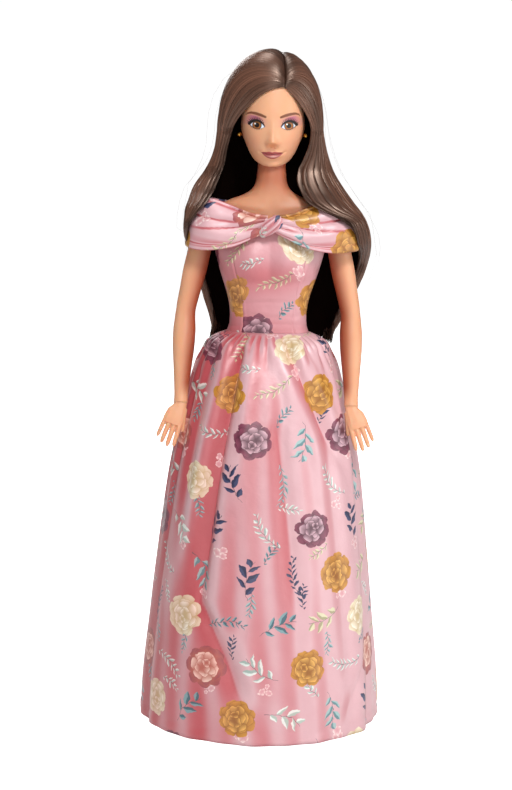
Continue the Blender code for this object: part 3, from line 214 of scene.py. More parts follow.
HAIR_LENGTH = 0.0955
HAIR_BASE_Z = HEAD_CENTRE_Z - 0.20 * JAW_DROP
SHOULDER = np.array((0.0278, 0.0, 0.226012))
ELBOW = np.array((0.036901, 0.0, 0.183986))
WRIST = np.array((0.03774, -0.012824, 0.144526))
UPPER_ARM_RADIUS = 0.0052
FOREARM_RADIUS = 0.0050
ARMHOLE_OUT = 0.0229
SIDES = ((1, "left"), (-1, "right"))

# The photograph's view
VIEW_DISTANCE = 0.900
VIEW_HEIGHT_DEG = 8.0
VIEW_ROLL_DEG = 1.40
VIEW_ANGLE_DEG = 22.3
VIEW_TARGET = Vector((-0.0045, 0.0, 0.1460))

# Torso: height share, then shares of the half width, front and back depth
TORSO_SHARES = (
    (0.0, 0.3, 0.6, 0.7),
    (0.049, 0.62, 0.88, 1.15),
    (0.106, 0.87, 1.0, 1.36),
    (0.154, 0.92, 1.05, 1.4),
    (0.211, 0.86, 1.03, 1.26),
    (0.268, 0.77, 0.97, 1.06),
    (0.325, 0.7, 0.9, 0.9),
    (0.374, 0.645, 0.86, 0.83),
    (0.423, 0.66, 0.88, 0.86),
    (0.472, 0.72, 0.93, 0.9),
    (0.528, 0.82, 0.98, 0.95),
    (0.585, 0.91, 1.0, 0.98),
    (0.634, 0.97, 0.98, 0.98),
    (0.683, 0.975, 0.9, 0.95),
    (0.724, 0.972, 0.82, 0.9),
    (0.764, 0.955, 0.75, 0.83),
    (0.789, 0.91, 0.7, 0.78),
    (0.805, 0.75, 0.67, 0.74),
    (0.821, 0.52, 0.64, 0.71),
    (0.841, 0.36, 0.62, 0.69),
    (0.87, 0.28, 0.6, 0.667),
    (0.919, 0.261, 0.6, 0.667),
    (1.0, 0.261, 0.6, 0.667),
)
# Skirt: share of the waist's height, then shares of the hem radius to the side, front and back
SKIRT_SHARES = (
    (0.0, 1.0, 1.0, 1.0),
    (0.018, 1.0, 0.998, 0.998),
    (0.29, 0.93, 0.925, 0.925),
    (0.445, 0.876, 0.85, 0.85),
    (0.627, 0.8, 0.755, 0.755),
    (0.732, 0.735, 0.68, 0.68),
    (0.8, 0.682, 0.615, 0.615),
    (0.9, 0.602, 0.5, 0.5),
    (0.937, 0.562, 0.44, 0.44),
    (0.972, 0.5, 0.36, 0.36),
    (0.99, 0.42, 0.285, 0.275),
    (1.0, 0.35, 0.212, 0.206),
)
# The skirt's folds: angle from the front at the top and at the foot, height shares of both, then, as shares
# of the hem radius, the width at the top and at the foot and the depth, then its crests and its lean
FOLD_SHARES = (
    (-0.42, -0.64, 0.985, 0.26, 0.044, 0.12, 0.06, 0.7, 0.35),
    (0.34, 0.98, 0.985, 0.66, 0.038, 0.1, 0.044, 0.7, -0.25),
    (0.12, 0.36, 0.8, 0.28, 0.073, 0.115, 0.025, 0.3, 0.0),
    (-0.58, 0.02, 0.36, 0.03, 0.076, 0.115, 0.031, 0.5, 0.0),
    (-1.2, -1.24, 0.93, -0.2, 0.042, 0.115, 0.023, 0.4, 0.0),
    (1.28, 1.2, 0.93, -0.2, 0.042, 0.115, 0.019, 0.4, 0.0),
    (1.15, 0.72, 0.2, 0.0, 0.057, 0.096, 0.017, 0.3, 0.0),
    (1.85, 1.8, 0.97, -0.2, 0.034, 0.115, 0.038, 0.5, 0.0),
    (2.28, 2.34, 0.975, -0.2, 0.034, 0.12, 0.046, 0.5, 0.0),
    (2.74, 2.8, 0.97, -0.2, 0.034, 0.105, 0.034, 0.5, 0.0),
    (-1.82, -1.78, 0.97, -0.2, 0.034, 0.115, 0.038, 0.5, 0.0),
    (-2.25, -2.3, 0.975, -0.2, 0.034, 0.12, 0.046, 0.5, 0.0),
    (-2.7, -2.76, 0.97, -0.2, 0.034, 0.105, 0.034, 0.5, 0.0),
)
# Band, from the centre front to the centre back: half width, depth and height of top, middle and foot
BAND_SHARES = (
    (0.0, (0.03, -0.83, 0.7), (0.03, -0.96, 0.59), (0.03, -1.0, 0.47)),
    (0.12, (0.18, -0.83, 0.74), (0.19, -0.98, 0.53), (0.2, -1.04, 0.3)),
    (0.26, (0.42, -0.58, 0.88), (0.44, -0.96, 0.49), (0.46, -1.04, 0.09)),
    (0.4, (0.64, -0.44, 1.0), (0.74, -0.86, 0.55), (0.76, -0.86, 0.02)),
    (0.5, (0.735, -0.25, 1.03), (0.915, -0.44, 0.66), (0.985, -0.44, 0.06)),
    (0.58, (0.75, 0.06, 1.04), (0.93, 0.06, 0.68), (1.0, 0.06, 0.07)),
    (0.66, (0.725, 0.36, 1.03), (0.9, 0.52, 0.64), (0.97, 0.52, 0.05)),
    (0.76, (0.62, 0.7, 0.98), (0.74, 0.96, 0.54), (0.76, 0.96, 0.01)),
    (0.88, (0.33, 0.92, 0.94), (0.38, 1.01, 0.5), (0.4, 1.03, 0.0)),
    (1.0, (0.008, 0.93, 0.93), (0.008, 1.01, 0.5), (0.008, 1.03, 0.0)),
)
UPPER_ARM_SHARES = (
    (-0.118, 0.25),
    (-0.108, 0.5),
    (-0.083, 0.76),
    (-0.045, 0.93),
    (0.0, 1.0),
    (0.3, 0.98),
    (0.55, 1.0),
    (0.8, 0.9),
    (1.0, 0.84),
)
FOREARM_SHARES = (
    (0.0, 0.87),
    (0.1, 0.92),
    (0.24, 1.0),
    (0.42, 0.96),
    (0.64, 0.8),
    (0.84, 0.64),
    (0.96, 0.58),
    (1.0, 0.58),
)
# Falling hair: length, outside right and left, the back, the front edges
FALL_SHARES = (
    (0.0, 1.05, 0.96, 0.9, 0.095),
    (0.095, 1.1, 1.06, 0.88, 0.09),
    (0.18, 1.25, 1.19, 0.85, 0.09),
    (0.255, 1.46, 1.38, 0.82, 0.11),
    (0.315, 1.55, 1.56, 0.81, 0.15),
    (0.38, 1.61, 1.76, 0.815, 0.24),
    (0.455, 1.61, 1.88, 0.82, 0.36),
    (0.53, 1.55, 1.915, 0.825, 0.4),
    (0.645, 1.43, 1.835, 0.84, 0.4),
    (0.76, 1.27, 1.655, 0.88, 0.43),
    (0.87, 1.18, 1.495, 0.94, 0.48),
    (0.95, 1.17, 1.395, 1.02, 0.56),
    (1.0, 1.18, 1.335, 1.06, 0.64),
)
# Its front tresses: length, then for the right and the left the inner edge's x and the front's y, in millimetres
HAIR_EDGES = (
    (0.0, 18.0, -3.5, 17.5, -3.5),
    (0.1, 20.5, -2.5, 15.0, -3.0),
    (0.165, 21.2, -2.5, 11.8, -4.0),
    (0.215, 23.2, -3.5, 11.0, -6.0),
    (0.28, 25.4, -7.5, 13.2, -9.5),
    (0.32, 27.4, -11.5, 16.0, -12.5),
    (0.36, 30.6, -14.5, 23.5, -14.5),
    (0.39, 33.2, -14.5, 33.0, -15.0),
    (0.44, 36.4, -13.5, 36.8, -13.5),
    (0.5, 36.6, -9.0, 38.6, -9.5),
    (0.56, 34.4, 0.0, 40.5, -1.0),
    (0.64, 31.0, 8.0, 39.5, 7.0),
    (0.76, 27.0, 10.0, 35.0, 10.0),
    (0.9, 24.5, 12.5, 30.0, 12.5),
    (1.0, 26.5, 15.0, 29.0, 15.0),
)


def eased(table, at):
    """Columns of a share table at an array of places, eased between the rows without overshoot."""
    rows = np.array(table, float)
    at = np.clip(np.asarray(at, float), rows[0, 0], rows[-1, 0])
    x, y = rows[:, 0], rows[:, 1:]
    secant = np.diff(y, axis=0) / np.diff(x)[:, None]
    slope = np.vstack([secant[:1], np.zeros_like(secant[1:]), secant[-1:]])
    if len(rows) > 2:
        span = (x[2:] - x[:-2])[:, None]
        slope[1:-1] = (y[2:] - y[:-2]) / span
        for side in (secant[:-1], secant[1:]):
            slope[1:-1] = np.where(slope[1:-1] * side <= 0, 0.0, slope[1:-1])
            slope[1:-1] = np.sign(slope[1:-1]) * np.minimum(abs(slope[1:-1]), 3 * abs(side))
    i = np.clip(np.searchsorted(x, at, side="right") - 1, 0, len(x) - 2)
    width = (x[i + 1] - x[i])[..., None]
    t = (at - x[i])[..., None] / width
    start, stop = slope[i] * width, slope[i + 1] * width
    value = (2 * t**3 - 3 * t**2 + 1) * y[i] + (t**3 - 2 * t**2 + t) * start
    value += (3 * t**2 - 2 * t**3) * y[i + 1] + (t**3 - t**2) * stop
    return np.moveaxis(value, -1, 0)


def rounded(angle, power):
    """Sine and cosine of an angle, pushed outwards so that a ring is fuller at its corners."""
    s, c = np.sin(angle), np.cos(angle)
    return np.sign(s) * abs(s) ** (2 / power), np.sign(c) * abs(c) ** (2 / power)


def bell(x, spread):
    return np.exp(-0.5 * (x / spread) ** 2)


def hump(x, reach):
    return np.exp(-((x / reach) ** 2))


def ramp(x, low, high):
    """Rises smoothly from 0 at low to 1 at high."""
    t = np.clip((x - low) / (high - low), 0, 1)
    return t * t * (3 - 2 * t)


def stack(*parts):
    return np.stack(np.broadcast_arrays(*parts), axis=-1)


def object_of(name, mesh, *materials):
    obj = bpy.data.objects.new(name, mesh)
    bpy.context.scene.collection.objects.link(obj)
    for material in materials:
        mesh.materials.append(material)
    return obj


def mesh_of(name, points, faces, uv=None, fields=None):
    """A smooth mesh from points and quads, with an optional UV place and float fields for each point."""
    mesh = bpy.data.meshes.new(name)
    points = np.asarray(points, np.float32).reshape(-1, 3)
    mesh.from_pydata(points.tolist(), [], [list(f) for f in faces])
    if uv is not None:
        layer = mesh.uv_layers.new(name="cloth")
        corner = np.empty(len(mesh.loops), np.int32)
        mesh.loops.foreach_get("vertex_index", corner)
        layer.data.foreach_set("uv", np.asarray(uv, np.float32).reshape(-1, 2)[corner].ravel())
    for key, values in (fields or {}).items():
        attribute = mesh.attributes.new(key, "FLOAT", "POINT")
        attribute.data.foreach_set("value", np.asarray(values, np.float32).ravel())
    mesh.shade_smooth()
    mesh.validate()
    return mesh


def grid_faces(rows, columns, wrap=False, start=0, flip=False):
    """Quads over a grid of rows and columns that starts at point number start."""
    r, c = np.meshgrid(np.arange(rows - 1), np.arange(columns if wrap else columns - 1), indexing="ij")
    following = (c + 1) % columns
    corners = [start + r * columns + c, start + r * columns + following]
    corners += [start + (r + 1) * columns + following, start + (r + 1) * columns + c]
    faces = np.stack(corners, -1).reshape(-1, 4)
    return faces[:, ::-1] if flip else faces


def grid_normals(points):
    """Unit normals of a grid of points: across the columns, crossed with down the rows."""
    across = np.gradient(points, axis=1)
    down = np.gradient(points, axis=0)
    normal = np.cross(across, down)
    return normal / np.maximum(np.linalg.norm(normal, axis=-1, keepdims=True), 1e-12)


def cloth_sheet(name, points, uv, material, thick=CLOTH, fields=None):
    """A closed piece of cloth: an outer grid whose normals face out, the same grid set in, and a rim."""
    rows, columns = points.shape[:2]
    inner = points - thick * grid_normals(points)
    both = np.concatenate([points.reshape(-1, 3), inner.reshape(-1, 3)])
    count = rows * columns
    faces = [*grid_faces(rows, columns), *grid_faces(rows, columns, start=count, flip=True)]
    index = np.arange(count).reshape(rows, columns)
    rim = [*index[0, :], *index[1:, -1], *index[-1, -2::-1], *index[-2:0:-1, 0]]
    for a, b in zip(rim, rim[1:] + rim[:1]):
        faces.append((b, a, a + count, b + count))
    fields = {key: np.concatenate([v.ravel(), v.ravel()]) for key, v in (fields or {}).items()}
    places = np.concatenate([uv.reshape(-1, 2), uv.reshape(-1, 2)])
    mesh = mesh_of(name, both, faces, places, fields)
    return object_of(name, mesh, material)


def loft(name, rings, material, fields=None, uv_of=None):
    """A closed solid through rings of equal count whose order turns left-handed down the rings."""
    rings = np.asarray(rings, float)
    rows, columns = rings.shape[:2]
    points = np.concatenate([rings.reshape(-1, 3), rings[0].mean(0)[None], rings[-1].mean(0)[None]])
    faces = [list(f) for f in grid_faces(rows, columns, wrap=True)]
    first, last = rows * columns, rows * columns + 1
    end = (rows - 1) * columns
    for c in range(columns):
        following = (c + 1) % columns
        faces.append([following, c, first])
        faces.append([end + c, end + following, last])
    if fields:
        fields = {k: np.concatenate([v.ravel(), [v[0].mean(), v[-1].mean()]]) for k, v in fields.items()}
    return object_of(name, mesh_of(name, points, faces, uv_of and uv_of(points), fields), material)


def settle(obj):
    """Turns an object's modifiers into its plain mesh."""
    graph = bpy.context.evaluated_depsgraph_get()
    mesh = bpy.data.meshes.new_from_object(
        obj.evaluated_get(graph), preserve_all_data_layers=True, depsgraph=graph
    )
    obj.modifiers.clear()
    obj.data = mesh
    return obj


def run_nodes(obj, tree, values):
    """Runs a Geometry Nodes tree on an object with these inputs, and keeps what it makes as the object's mesh."""
    modifier = obj.modifiers.new("nodes", "NODES")
    modifier.node_group = tree
    for item in tree.interface.items_tree:
        if item.in_out == "INPUT" and item.name in values:
            modifier[item.identifier] = values[item.name]
    settle(obj)


def hex_colour(code):
    """Linear red, green, blue and alpha of an sRGB hex value."""
    parts = [int(code[i : i + 2], 16) / 255 for i in (1, 3, 5)]
    return tuple(c / 12.92 if c <= 0.04045 else ((c + 0.055) / 1.055) ** 2.4 for c in parts) + (1.0,)


def add(tree, kind, inputs=(), output=0, **settings):
    """Adds a node, sets its properties, fills its inputs by order or name, and gives one of its outputs.

    A kind in capitals is an operation of the maths node, a text that starts with # is a colour's hex value, and
    output None gives the node itself.
    """
    if kind.isupper():
        kind, settings = "ShaderNodeMath", {"operation": kind, **settings}
    node = tree.nodes.new(kind)
    for key, value in settings.items():
        setattr(node, key, value)
    pairs = inputs.items() if isinstance(inputs, dict) else enumerate(inputs)
    for key, value in pairs:
        if isinstance(value, str) and value.startswith("#"):
            value = hex_colour(value)
        if isinstance(value, bpy.types.NodeSocket):
            tree.links.new(value, node.inputs[key])
        else:
            node.inputs[key].default_value = value
    return node if output is None else node.outputs[output]


VECTOR = "ShaderNodeVectorMath"
MIX = "ShaderNodeMix"


def group_of(name, inputs, outputs, kind="ShaderNodeTree"):
    """An empty node group with named sockets, its inputs as a dictionary, and its output node."""
    tree = bpy.data.node_groups.new(name, kind)
    for key, socket in inputs:
        tree.interface.new_socket(key, in_out="INPUT", socket_type=socket)
    for key, socket in outputs:
        tree.interface.new_socket(key, in_out="OUTPUT", socket_type=socket)
    entry = tree.nodes.new("NodeGroupInput")
    exit_node = tree.nodes.new("NodeGroupOutput")
    return tree, {key: entry.outputs[key] for key, _ in inputs}, exit_node


def material_of(name, **values):
    """A Principled material, its tree and its shader node, with plain values set on the shader's sockets."""
    material = bpy.data.materials.new(name)
    material.use_nodes = True
    tree = material.node_tree
    shader = tree.nodes["Principled BSDF"]
    shader.inputs["Emission Color"].default_value = (1.0, 1.0, 1.0, 1.0)
    for key, value in values.items():
        socket = key.replace("_", " ").capitalize()
        names = {s.name.lower(): s for s in shader.inputs}
        names[socket.lower()].default_value = value
    return material, tree, shader


def print_motifs():
    """The floral print's motifs as node groups: a ring of petals and a leafy sprig, in millimetres."""
    ring, at, out = group_of(
        "petal_ring",
        [("place", "NodeSocketVector"), ("radius", "NodeSocketFloat"), ("petals", "NodeSocketFloat")],
        [("inside", "NodeSocketFloat"), ("outline", "NodeSocketFloat"), ("tone", "NodeSocketFloat")],
    )
    split = add(ring, "ShaderNodeSeparateXYZ", {0: at["place"]}, None)
    reach = add(ring, VECTOR, [at["place"]], output=1, operation="LENGTH")
    angle = add(ring, "ARCTAN2", [split.outputs[1], split.outputs[0]])
    half = add(ring, "MULTIPLY", [angle, add(ring, "MULTIPLY", [at["petals"], 0.5])])
    turned = add(ring, "ADD", [half, at["radius"]])
    lobe = add(ring, "ABSOLUTE", [add(ring, "COSINE", [turned])])
    full = add(ring, "POWER", [lobe, 0.42])
    edge = add(ring, "MULTIPLY_ADD", [full, 0.22, 0.80])
    rim = add(ring, "MULTIPLY", [edge, at["radius"]])
    gap = add(ring, "SUBTRACT", [rim, reach])
    inside = add(ring, "MULTIPLY_ADD", [gap, 9.0, 0.5], use_clamp=True)
    outline = add(ring, "MULTIPLY_ADD", [gap, 3.0, 1.1], use_clamp=True)
    share = add(ring, "DIVIDE", [reach, rim])
    sunk = add(ring, "POWER", [share, 2.6])
    tone = add(ring, "MULTIPLY", [sunk, add(ring, "POWER", [full, 1.6])])
    for key, value in (("inside", inside), ("outline", outline), ("tone", tone)):
        ring.links.new(value, out.inputs[key])

    numbers = [(key, "NodeSocketFloat") for key in ("reach", "leaf", "slim")]
    sprig, at, out = group_of(
        "leafy_sprig",
        [("place", "NodeSocketVector"), *numbers],
        [("leaf", "NodeSocketFloat"), ("stem", "NodeSocketFloat"), ("tone", "NodeSocketFloat")],
    )

    split = add(sprig, "ShaderNodeSeparateXYZ", {0: at["place"]}, None)
    along, across = split.outputs[0], split.outputs[1]
    bow = add(sprig, "MULTIPLY", [add(sprig, "MULTIPLY", [along, along]), 0.030])
    off = add(sprig, "SUBTRACT", [across, bow])
    away = add(sprig, "ABSOLUTE", [off])
    pace = add(sprig, "MULTIPLY", [at["leaf"], 0.66])
    staggered = add(sprig, "MULTIPLY", [add(sprig, "SIGN", [off]), add(sprig, "MULTIPLY", [pace, 0.25])])
    stepped = add(sprig, "ADD", [along, staggered])
    base = add(sprig, "MULTIPLY", [add(sprig, "FLOOR", [add(sprig, "DIVIDE", [stepped, pace])]), pace])
    local = add(sprig, "SUBTRACT", [stepped, base])
    lean = 0.80
    u = add(sprig, "MULTIPLY_ADD", [local, math.cos(lean), add(sprig, "MULTIPLY", [away, math.sin(lean)])])
    v = add(sprig, "MULTIPLY_ADD", [away, math.cos(lean), add(sprig, "MULTIPLY", [local, -math.sin(lean)])])
    grown = add(sprig, "ABSOLUTE", [add(sprig, "DIVIDE", [base, at["reach"]])])
    length = add(sprig, "MULTIPLY", [at["leaf"], add(sprig, "MULTIPLY_ADD", [grown, -0.42, 1.0])])
    share = add(sprig, "DIVIDE", [u, length], use_clamp=True)
    hump = add(sprig, "SINE", [add(sprig, "MULTIPLY", [add(sprig, "POWER", [share, 0.8]), math.pi])])
    wide = add(sprig, "MULTIPLY", [hump, add(sprig, "MULTIPLY", [length, at["slim"]])])
    gap = add(sprig, "SUBTRACT", [wide, add(sprig, "ABSOLUTE", [v])])
    reach_left = add(sprig, "SUBTRACT", [at["reach"], add(sprig, "ABSOLUTE", [base])])
    limit = add(sprig, "MINIMUM", [gap, add(sprig, "MULTIPLY", [reach_left, 0.4])])
    leaf = add(sprig, "MULTIPLY_ADD", [limit, 9.0, 0.1], use_clamp=True)
    stem_gap = add(sprig, "MULTIPLY_ADD", [away, -1.0, 0.11])
    stem_in = add(
        sprig, "MINIMUM", [stem_gap, add(sprig, "SUBTRACT", [at["reach"], add(sprig, "ABSOLUTE", [along])])]
    )
    stem = add(sprig, "MULTIPLY_ADD", [stem_in, 9.0, 0.3], use_clamp=True)
    rib = add(sprig, "MULTIPLY_ADD", [v, 3.4, add(sprig, "MULTIPLY_ADD", [share, 0.5, 0.20])], use_clamp=True)
    for key, value in (("leaf", leaf), ("stem", stem), ("tone", rib)):
        sprig.links.new(value, out.inputs[key])
    return ring, sprig


# Inks of the print, picked at random for each motif: a bloom's inner petals, their depths, and its outer petals
PETAL_INKS = (
    ("#fbf4e4", "#c9ad7c", "#ecdfc4"),
    ("#dab2bd", "#4e182f", "#8b4158"),
    ("#ecb457", "#94590f", "#cf9132"),
    ("#fadccb", "#b8604f", "#9a4650"),
)
# A sprig's leaves: light and dark
LEAF_INKS = (
    ("#7da3a8", "#3c6570"),
    ("#3c4266", "#1f2447"),
    ("#dfe6df", "#9db0a8"),
    ("#d9d2ae", "#a69f78"),
    ("#9fbcbb", "#5d868b"),
    ("#e6e9e2", "#b0bdb2"),
)


def ink_ramps(tree, pick, inks):
    """The inks of a row of the table, one socket each, that a random number picks."""
    found = []
    for tone in range(len(inks[0])):
        ramp = tree.nodes.new("ShaderNodeValToRGB")
        ramp.color_ramp.interpolation = "CONSTANT"
        stops = ramp.color_ramp.elements
        for i, row in enumerate(inks):
            stop = stops[i] if i < 2 else stops.new(i / len(inks))
            stop.position = i / len(inks)
            stop.color = hex_colour(row[tone])
        tree.links.new(pick, ramp.inputs[0])
        found.append(ramp.outputs[0])
    return found


def scatter(tree, place, cell, shift, seed, jitter):
    """A grid of cells over the cloth: the place in the cell, turned at random, three random numbers, and parity."""
    moved = add(tree, VECTOR, [place, (shift[0], shift[1], 0.0)], operation="ADD")
    row = add(tree, VECTOR, [moved, (cell[0], cell[1], 1.0)], operation="DIVIDE")
    parts = add(tree, "ShaderNodeSeparateXYZ", {0: row}, None)
    level = add(tree, "FLOOR", [parts.outputs[1]])
    brick = add(tree, "MULTIPLY_ADD", [level, 0.37, parts.outputs[0]])
    column = add(tree, "FLOOR", [brick])
    number = add(tree, "ShaderNodeCombineXYZ", [column, level, seed])
    local_x = add(tree, "ADD", [add(tree, "SUBTRACT", [brick, column]), -0.5])
    local_y = add(tree, "ADD", [add(tree, "SUBTRACT", [parts.outputs[1], level]), -0.5])
    local = add(tree, "ShaderNodeCombineXYZ", [local_x, local_y, 0.0])
    sized = add(tree, VECTOR, [local, (cell[0], cell[1], 0.0)], operation="MULTIPLY")
    noise = add(tree, "ShaderNodeTexWhiteNoise", {"Vector": number}, "Color")
    again = add(tree, VECTOR, [number, (7.3, 3.1, 5.7)], operation="ADD")
    second = add(tree, "ShaderNodeTexWhiteNoise", {"Vector": again}, None)
    nudge = add(tree, VECTOR, [noise, (0.5, 0.5, 0.5)], operation="SUBTRACT")
    slid = add(tree, VECTOR, [nudge, (jitter, jitter, 0), sized], operation="MULTIPLY_ADD")
    turn = add(tree, "MULTIPLY", [second.outputs["Value"], 2 * math.pi])
    turned = add(tree, "ShaderNodeVectorRotate", {"Vector": slid, "Angle": turn}, rotation_type="Z_AXIS")
    extra = add(tree, "ShaderNodeSeparateColor", {0: second.outputs["Color"]}, None)
    parity = add(tree, "MULTIPLY", [add(tree, "ADD", [column, level]), 0.5])
    parity = add(tree, "FRACT", [parity])
    return turned, extra.outputs[0], extra.outputs[1], extra.outputs[2], parity


def over(tree, under, colour, mask):
    """Lays a colour over another by a mask."""
    return add(tree, MIX, {0: mask, 6: under, 7: colour}, 2, data_type="RGBA")


def floral_print(tree, place, ground):
    """The gown's print over its ground colour: big layered blooms, leafy sprigs and small blossoms."""
    ring, sprig = print_motifs()
    wobble = add(tree, "ShaderNodeTexNoise", {"Scale": 0.30, "Detail": 2.0, "Vector": place}, "Color")
    bend = add(tree, VECTOR, [wobble, (0.5, 0.5, 0.5)], operation="SUBTRACT")
    bent = add(tree, VECTOR, [bend, (2.6, 2.6, 0.0), place], operation="MULTIPLY_ADD")
    flat = add(tree, VECTOR, [bent, (1.0, 1.0, 0.0)], operation="MULTIPLY")

    def lay_sprig(result, local, pick, shown, reach, leaf, slim):
        light, dark = ink_ramps(tree, pick, LEAF_INKS)
        group = add(tree, "ShaderNodeGroup", {"place": local}, None, node_tree=sprig)
        for key, value in (("reach", reach), ("leaf", leaf), ("slim", slim)):
            group.inputs[key].default_value = value
        result = over(
            tree, result, "#5a4a52", add(tree, "MULTIPLY", [group.outputs["stem"], shown])
        )
        ink = over(tree, dark, light, group.outputs["tone"])
        return over(tree, result, ink, add(tree, "MULTIPLY", [group.outputs["leaf"], shown]))

    def lay_bloom(result, local, pick, shown, size, radius, petals):
        light, dark, outer = ink_ramps(
            tree, add(tree, "FRACT", [add(tree, "MULTIPLY", [pick, 7.0])]), PETAL_INKS
        )
        for number, count in enumerate(petals):
            group = add(tree, "ShaderNodeGroup", (), None, node_tree=ring)
            drift = (0.30 * number * (-1) ** number, 0.22 * number, 0.0)
            tree.links.new(add(tree, VECTOR, [local, drift], operation="ADD"), group.inputs["place"])
            wide = radius * (1 - number / len(petals)) ** 0.9
            tree.links.new(add(tree, "MULTIPLY", [size, wide]), group.inputs["radius"])
            group.inputs["petals"].default_value = count
            shade = add(tree, "MULTIPLY", [add(tree, "MULTIPLY", [group.outputs["outline"], shown]), 0.62])
            if number:
                result = over(tree, result, dark, shade)
            petal = over(tree, dark, outer if number < len(petals) // 3 else light, group.outputs["tone"])
            result = over(tree, result, petal, add(tree, "MULTIPLY", [group.outputs["inside"], shown]))
        return result

    # Small things at the corners of the cells that hold the large ones: short sprigs and tiny blossoms
    cell = (22.5, 20.0)
    local, pick, kind, size, _ = scatter(tree, flat, cell, (11.2, 10.0), 4.0, 2.0)
    result = lay_sprig(ground, local, pick, add(tree, "GREATER_THAN", [kind, 0.55]), 4.8, 3.4, 0.18)
    scale = add(tree, "MULTIPLY_ADD", [size, 0.3, 0.8])
    for spot, big in (((0.0, 0.0, 0.0), 1.9), ((2.9, 1.2, 0.0), 1.4), ((0.6, 3.0, 0.0), 1.5)):
        moved = add(tree, VECTOR, [local, spot], operation="ADD")
        blossom = add(tree, "LESS_THAN", [kind, 0.30])
        group = add(
            tree,
            "ShaderNodeGroup",
            {"place": moved, "radius": add(tree, "MULTIPLY", [scale, big]), "petals": 5.0},
            None,
            node_tree=ring,
        )
        petal = over(tree, "#d79aa0", "#f8e9e4", group.outputs["tone"])
        result = over(tree, result, petal, add(tree, "MULTIPLY", [group.outputs["inside"], blossom]))
    # Large things: blooms in every other cell at most, and two sorts of sprig in the rest
    local, pick, kind, size, parity = scatter(tree, flat, cell, (0.0, 0.0), 9.0, 3.0)
    bloom = add(
        tree, "MULTIPLY", [add(tree, "LESS_THAN", [kind, 0.74]), add(tree, "LESS_THAN", [parity, 0.25])]
    )
    plain = add(tree, "SUBTRACT", [1.0, bloom])
    leafy = add(tree, "MULTIPLY", [plain, add(tree, "LESS_THAN", [size, 0.62])])
    ferny = add(tree, "MULTIPLY", [plain, add(tree, "GREATER_THAN", [size, 0.62])])
    result = lay_sprig(result, local, pick, leafy, 8.6, 7.2, 0.19)
    result = lay_sprig(result, local, pick, ferny, 9.0, 4.0, 0.16)
    scale = add(tree, "MULTIPLY_ADD", [size, 0.16, 0.86])
    return lay_bloom(result, local, pick, bloom, scale, 9.0, (8, 7, 6, 6, 5, 4))


def satin():
    """Polyester satin, printed: soft bands of light along the folds, a fine weave and matt inks."""
    material, tree, shader = material_of(
        "printed_satin", roughness=0.42, ior=1.55, sheen_weight=0.08, sheen_roughness=0.4
    )
    shader.inputs["Sheen Tint"].default_value = hex_colour("#ffe4e2")
    shader.inputs["Specular IOR Level"].default_value = 0.75
    cloth = add(tree, "ShaderNodeUVMap", uv_map="cloth")
    mottle = add(tree, "ShaderNodeTexNoise", {"Scale": 0.12, "Detail": 3.0, "Vector": cloth}, "Fac")
    ground = over(tree, "#dbb0b5", "#d3a2a8", mottle)
    # Painted shade: the shade field deepens and reddens the colour in the folds' hollows and on the cloth's shaded
    # sides, standing in for shade and for light that meets the cloth more than once
    hollow = add(tree, "ShaderNodeAttribute", (), "Fac", attribute_name="shade")

    def deepened(colour, share):
        values = {0: add(tree, "MULTIPLY", [hollow, share]), 6: colour, 7: "#dc5b66"}
        return add(tree, MIX, values, 2, data_type="RGBA", blend_type="MULTIPLY")

    printed = deepened(floral_print(tree, cloth, deepened(ground, 0.85)), 0.30)
    tree.links.new(printed, shader.inputs["Base Color"])
    # Threads are about 0.1 mm apart; drawn at 0.5 mm so that the render shows them
    height = None
    for direction, share in (("X", 0.6), ("Y", 0.4)):
        wave = add(
            tree,
            "ShaderNodeTexWave",
            {"Scale": 20.0 / (2 * math.pi) / 0.5 * 0.3, "Distortion": 0.6, "Vector": cloth},
            "Fac",
            bands_direction=direction,
        )
        part = add(tree, "MULTIPLY", [wave, share])
        height = part if height is None else add(tree, "ADD", [height, part])
    bump = add(tree, "ShaderNodeBump", {"Strength": 0.12, "Distance": 0.00006, "Height": height})
    crumple = add(tree, "ShaderNodeTexNoise", {"Scale": 0.22, "Detail": 3.0, "Vector": cloth}, "Fac")
    soft = add(
        tree, "ShaderNodeBump", {"Strength": 0.35, "Distance": 0.0008, "Height": crumple, "Normal": bump}
    )
    tree.links.new(soft, shader.inputs["Normal"])
    return material


def vinyl_skin(name, colour="#e6b08a", **more):
    """Soft vinyl, moulded matt: warm light under the surface, faint mottling, a soft wide gloss."""
    values = dict(roughness=0.46, ior=1.46, subsurface_weight=0.45, subsurface_scale=0.0022)
    values.update(more)
    material, tree, shader = material_of(name, **values)
    shader.inputs["Subsurface Radius"].default_value = (1.0, 0.30, 0.16)
    where = add(tree, "ShaderNodeTexCoord", output=3)
    mottle = add(tree, "ShaderNodeTexNoise", {"Scale": 90.0, "Detail": 3.0, "Vector": where}, "Fac")
    warm = over(tree, colour, "#d98f68", mottle)
    skin = over(tree, colour, warm, 0.45)
    # Painted light: a reddish rim, stronger where the surface turns away from the camera, stands in for light glowing
    # through the vinyl at its edges
    facing = add(tree, "ShaderNodeLayerWeight", {"Blend": 0.45}, "Facing")
    rim = add(tree, "POWER", [facing, 1.5])
    skin = over(tree, skin, "#c4573a", add(tree, "MULTIPLY", [rim, 0.32]))
    # Painted shade: the shade field darkens and reddens the skin under the chin, down the neck and on the arms' inner
    # sides
    inner = add(tree, "ShaderNodeAttribute", (), "Fac", attribute_name="shade")
    skin = over(tree, skin, "#a2472a", inner)
    tree.links.new(skin, shader.inputs["Base Color"])
    grain = add(tree, "ShaderNodeTexNoise", {"Scale": 5200.0, "Vector": where}, "Fac")
    bump = add(tree, "ShaderNodeBump", {"Strength": 0.05, "Distance": 0.00003, "Height": grain})
    tree.links.new(bump, shader.inputs["Normal"])
    return material, tree, shader, skin


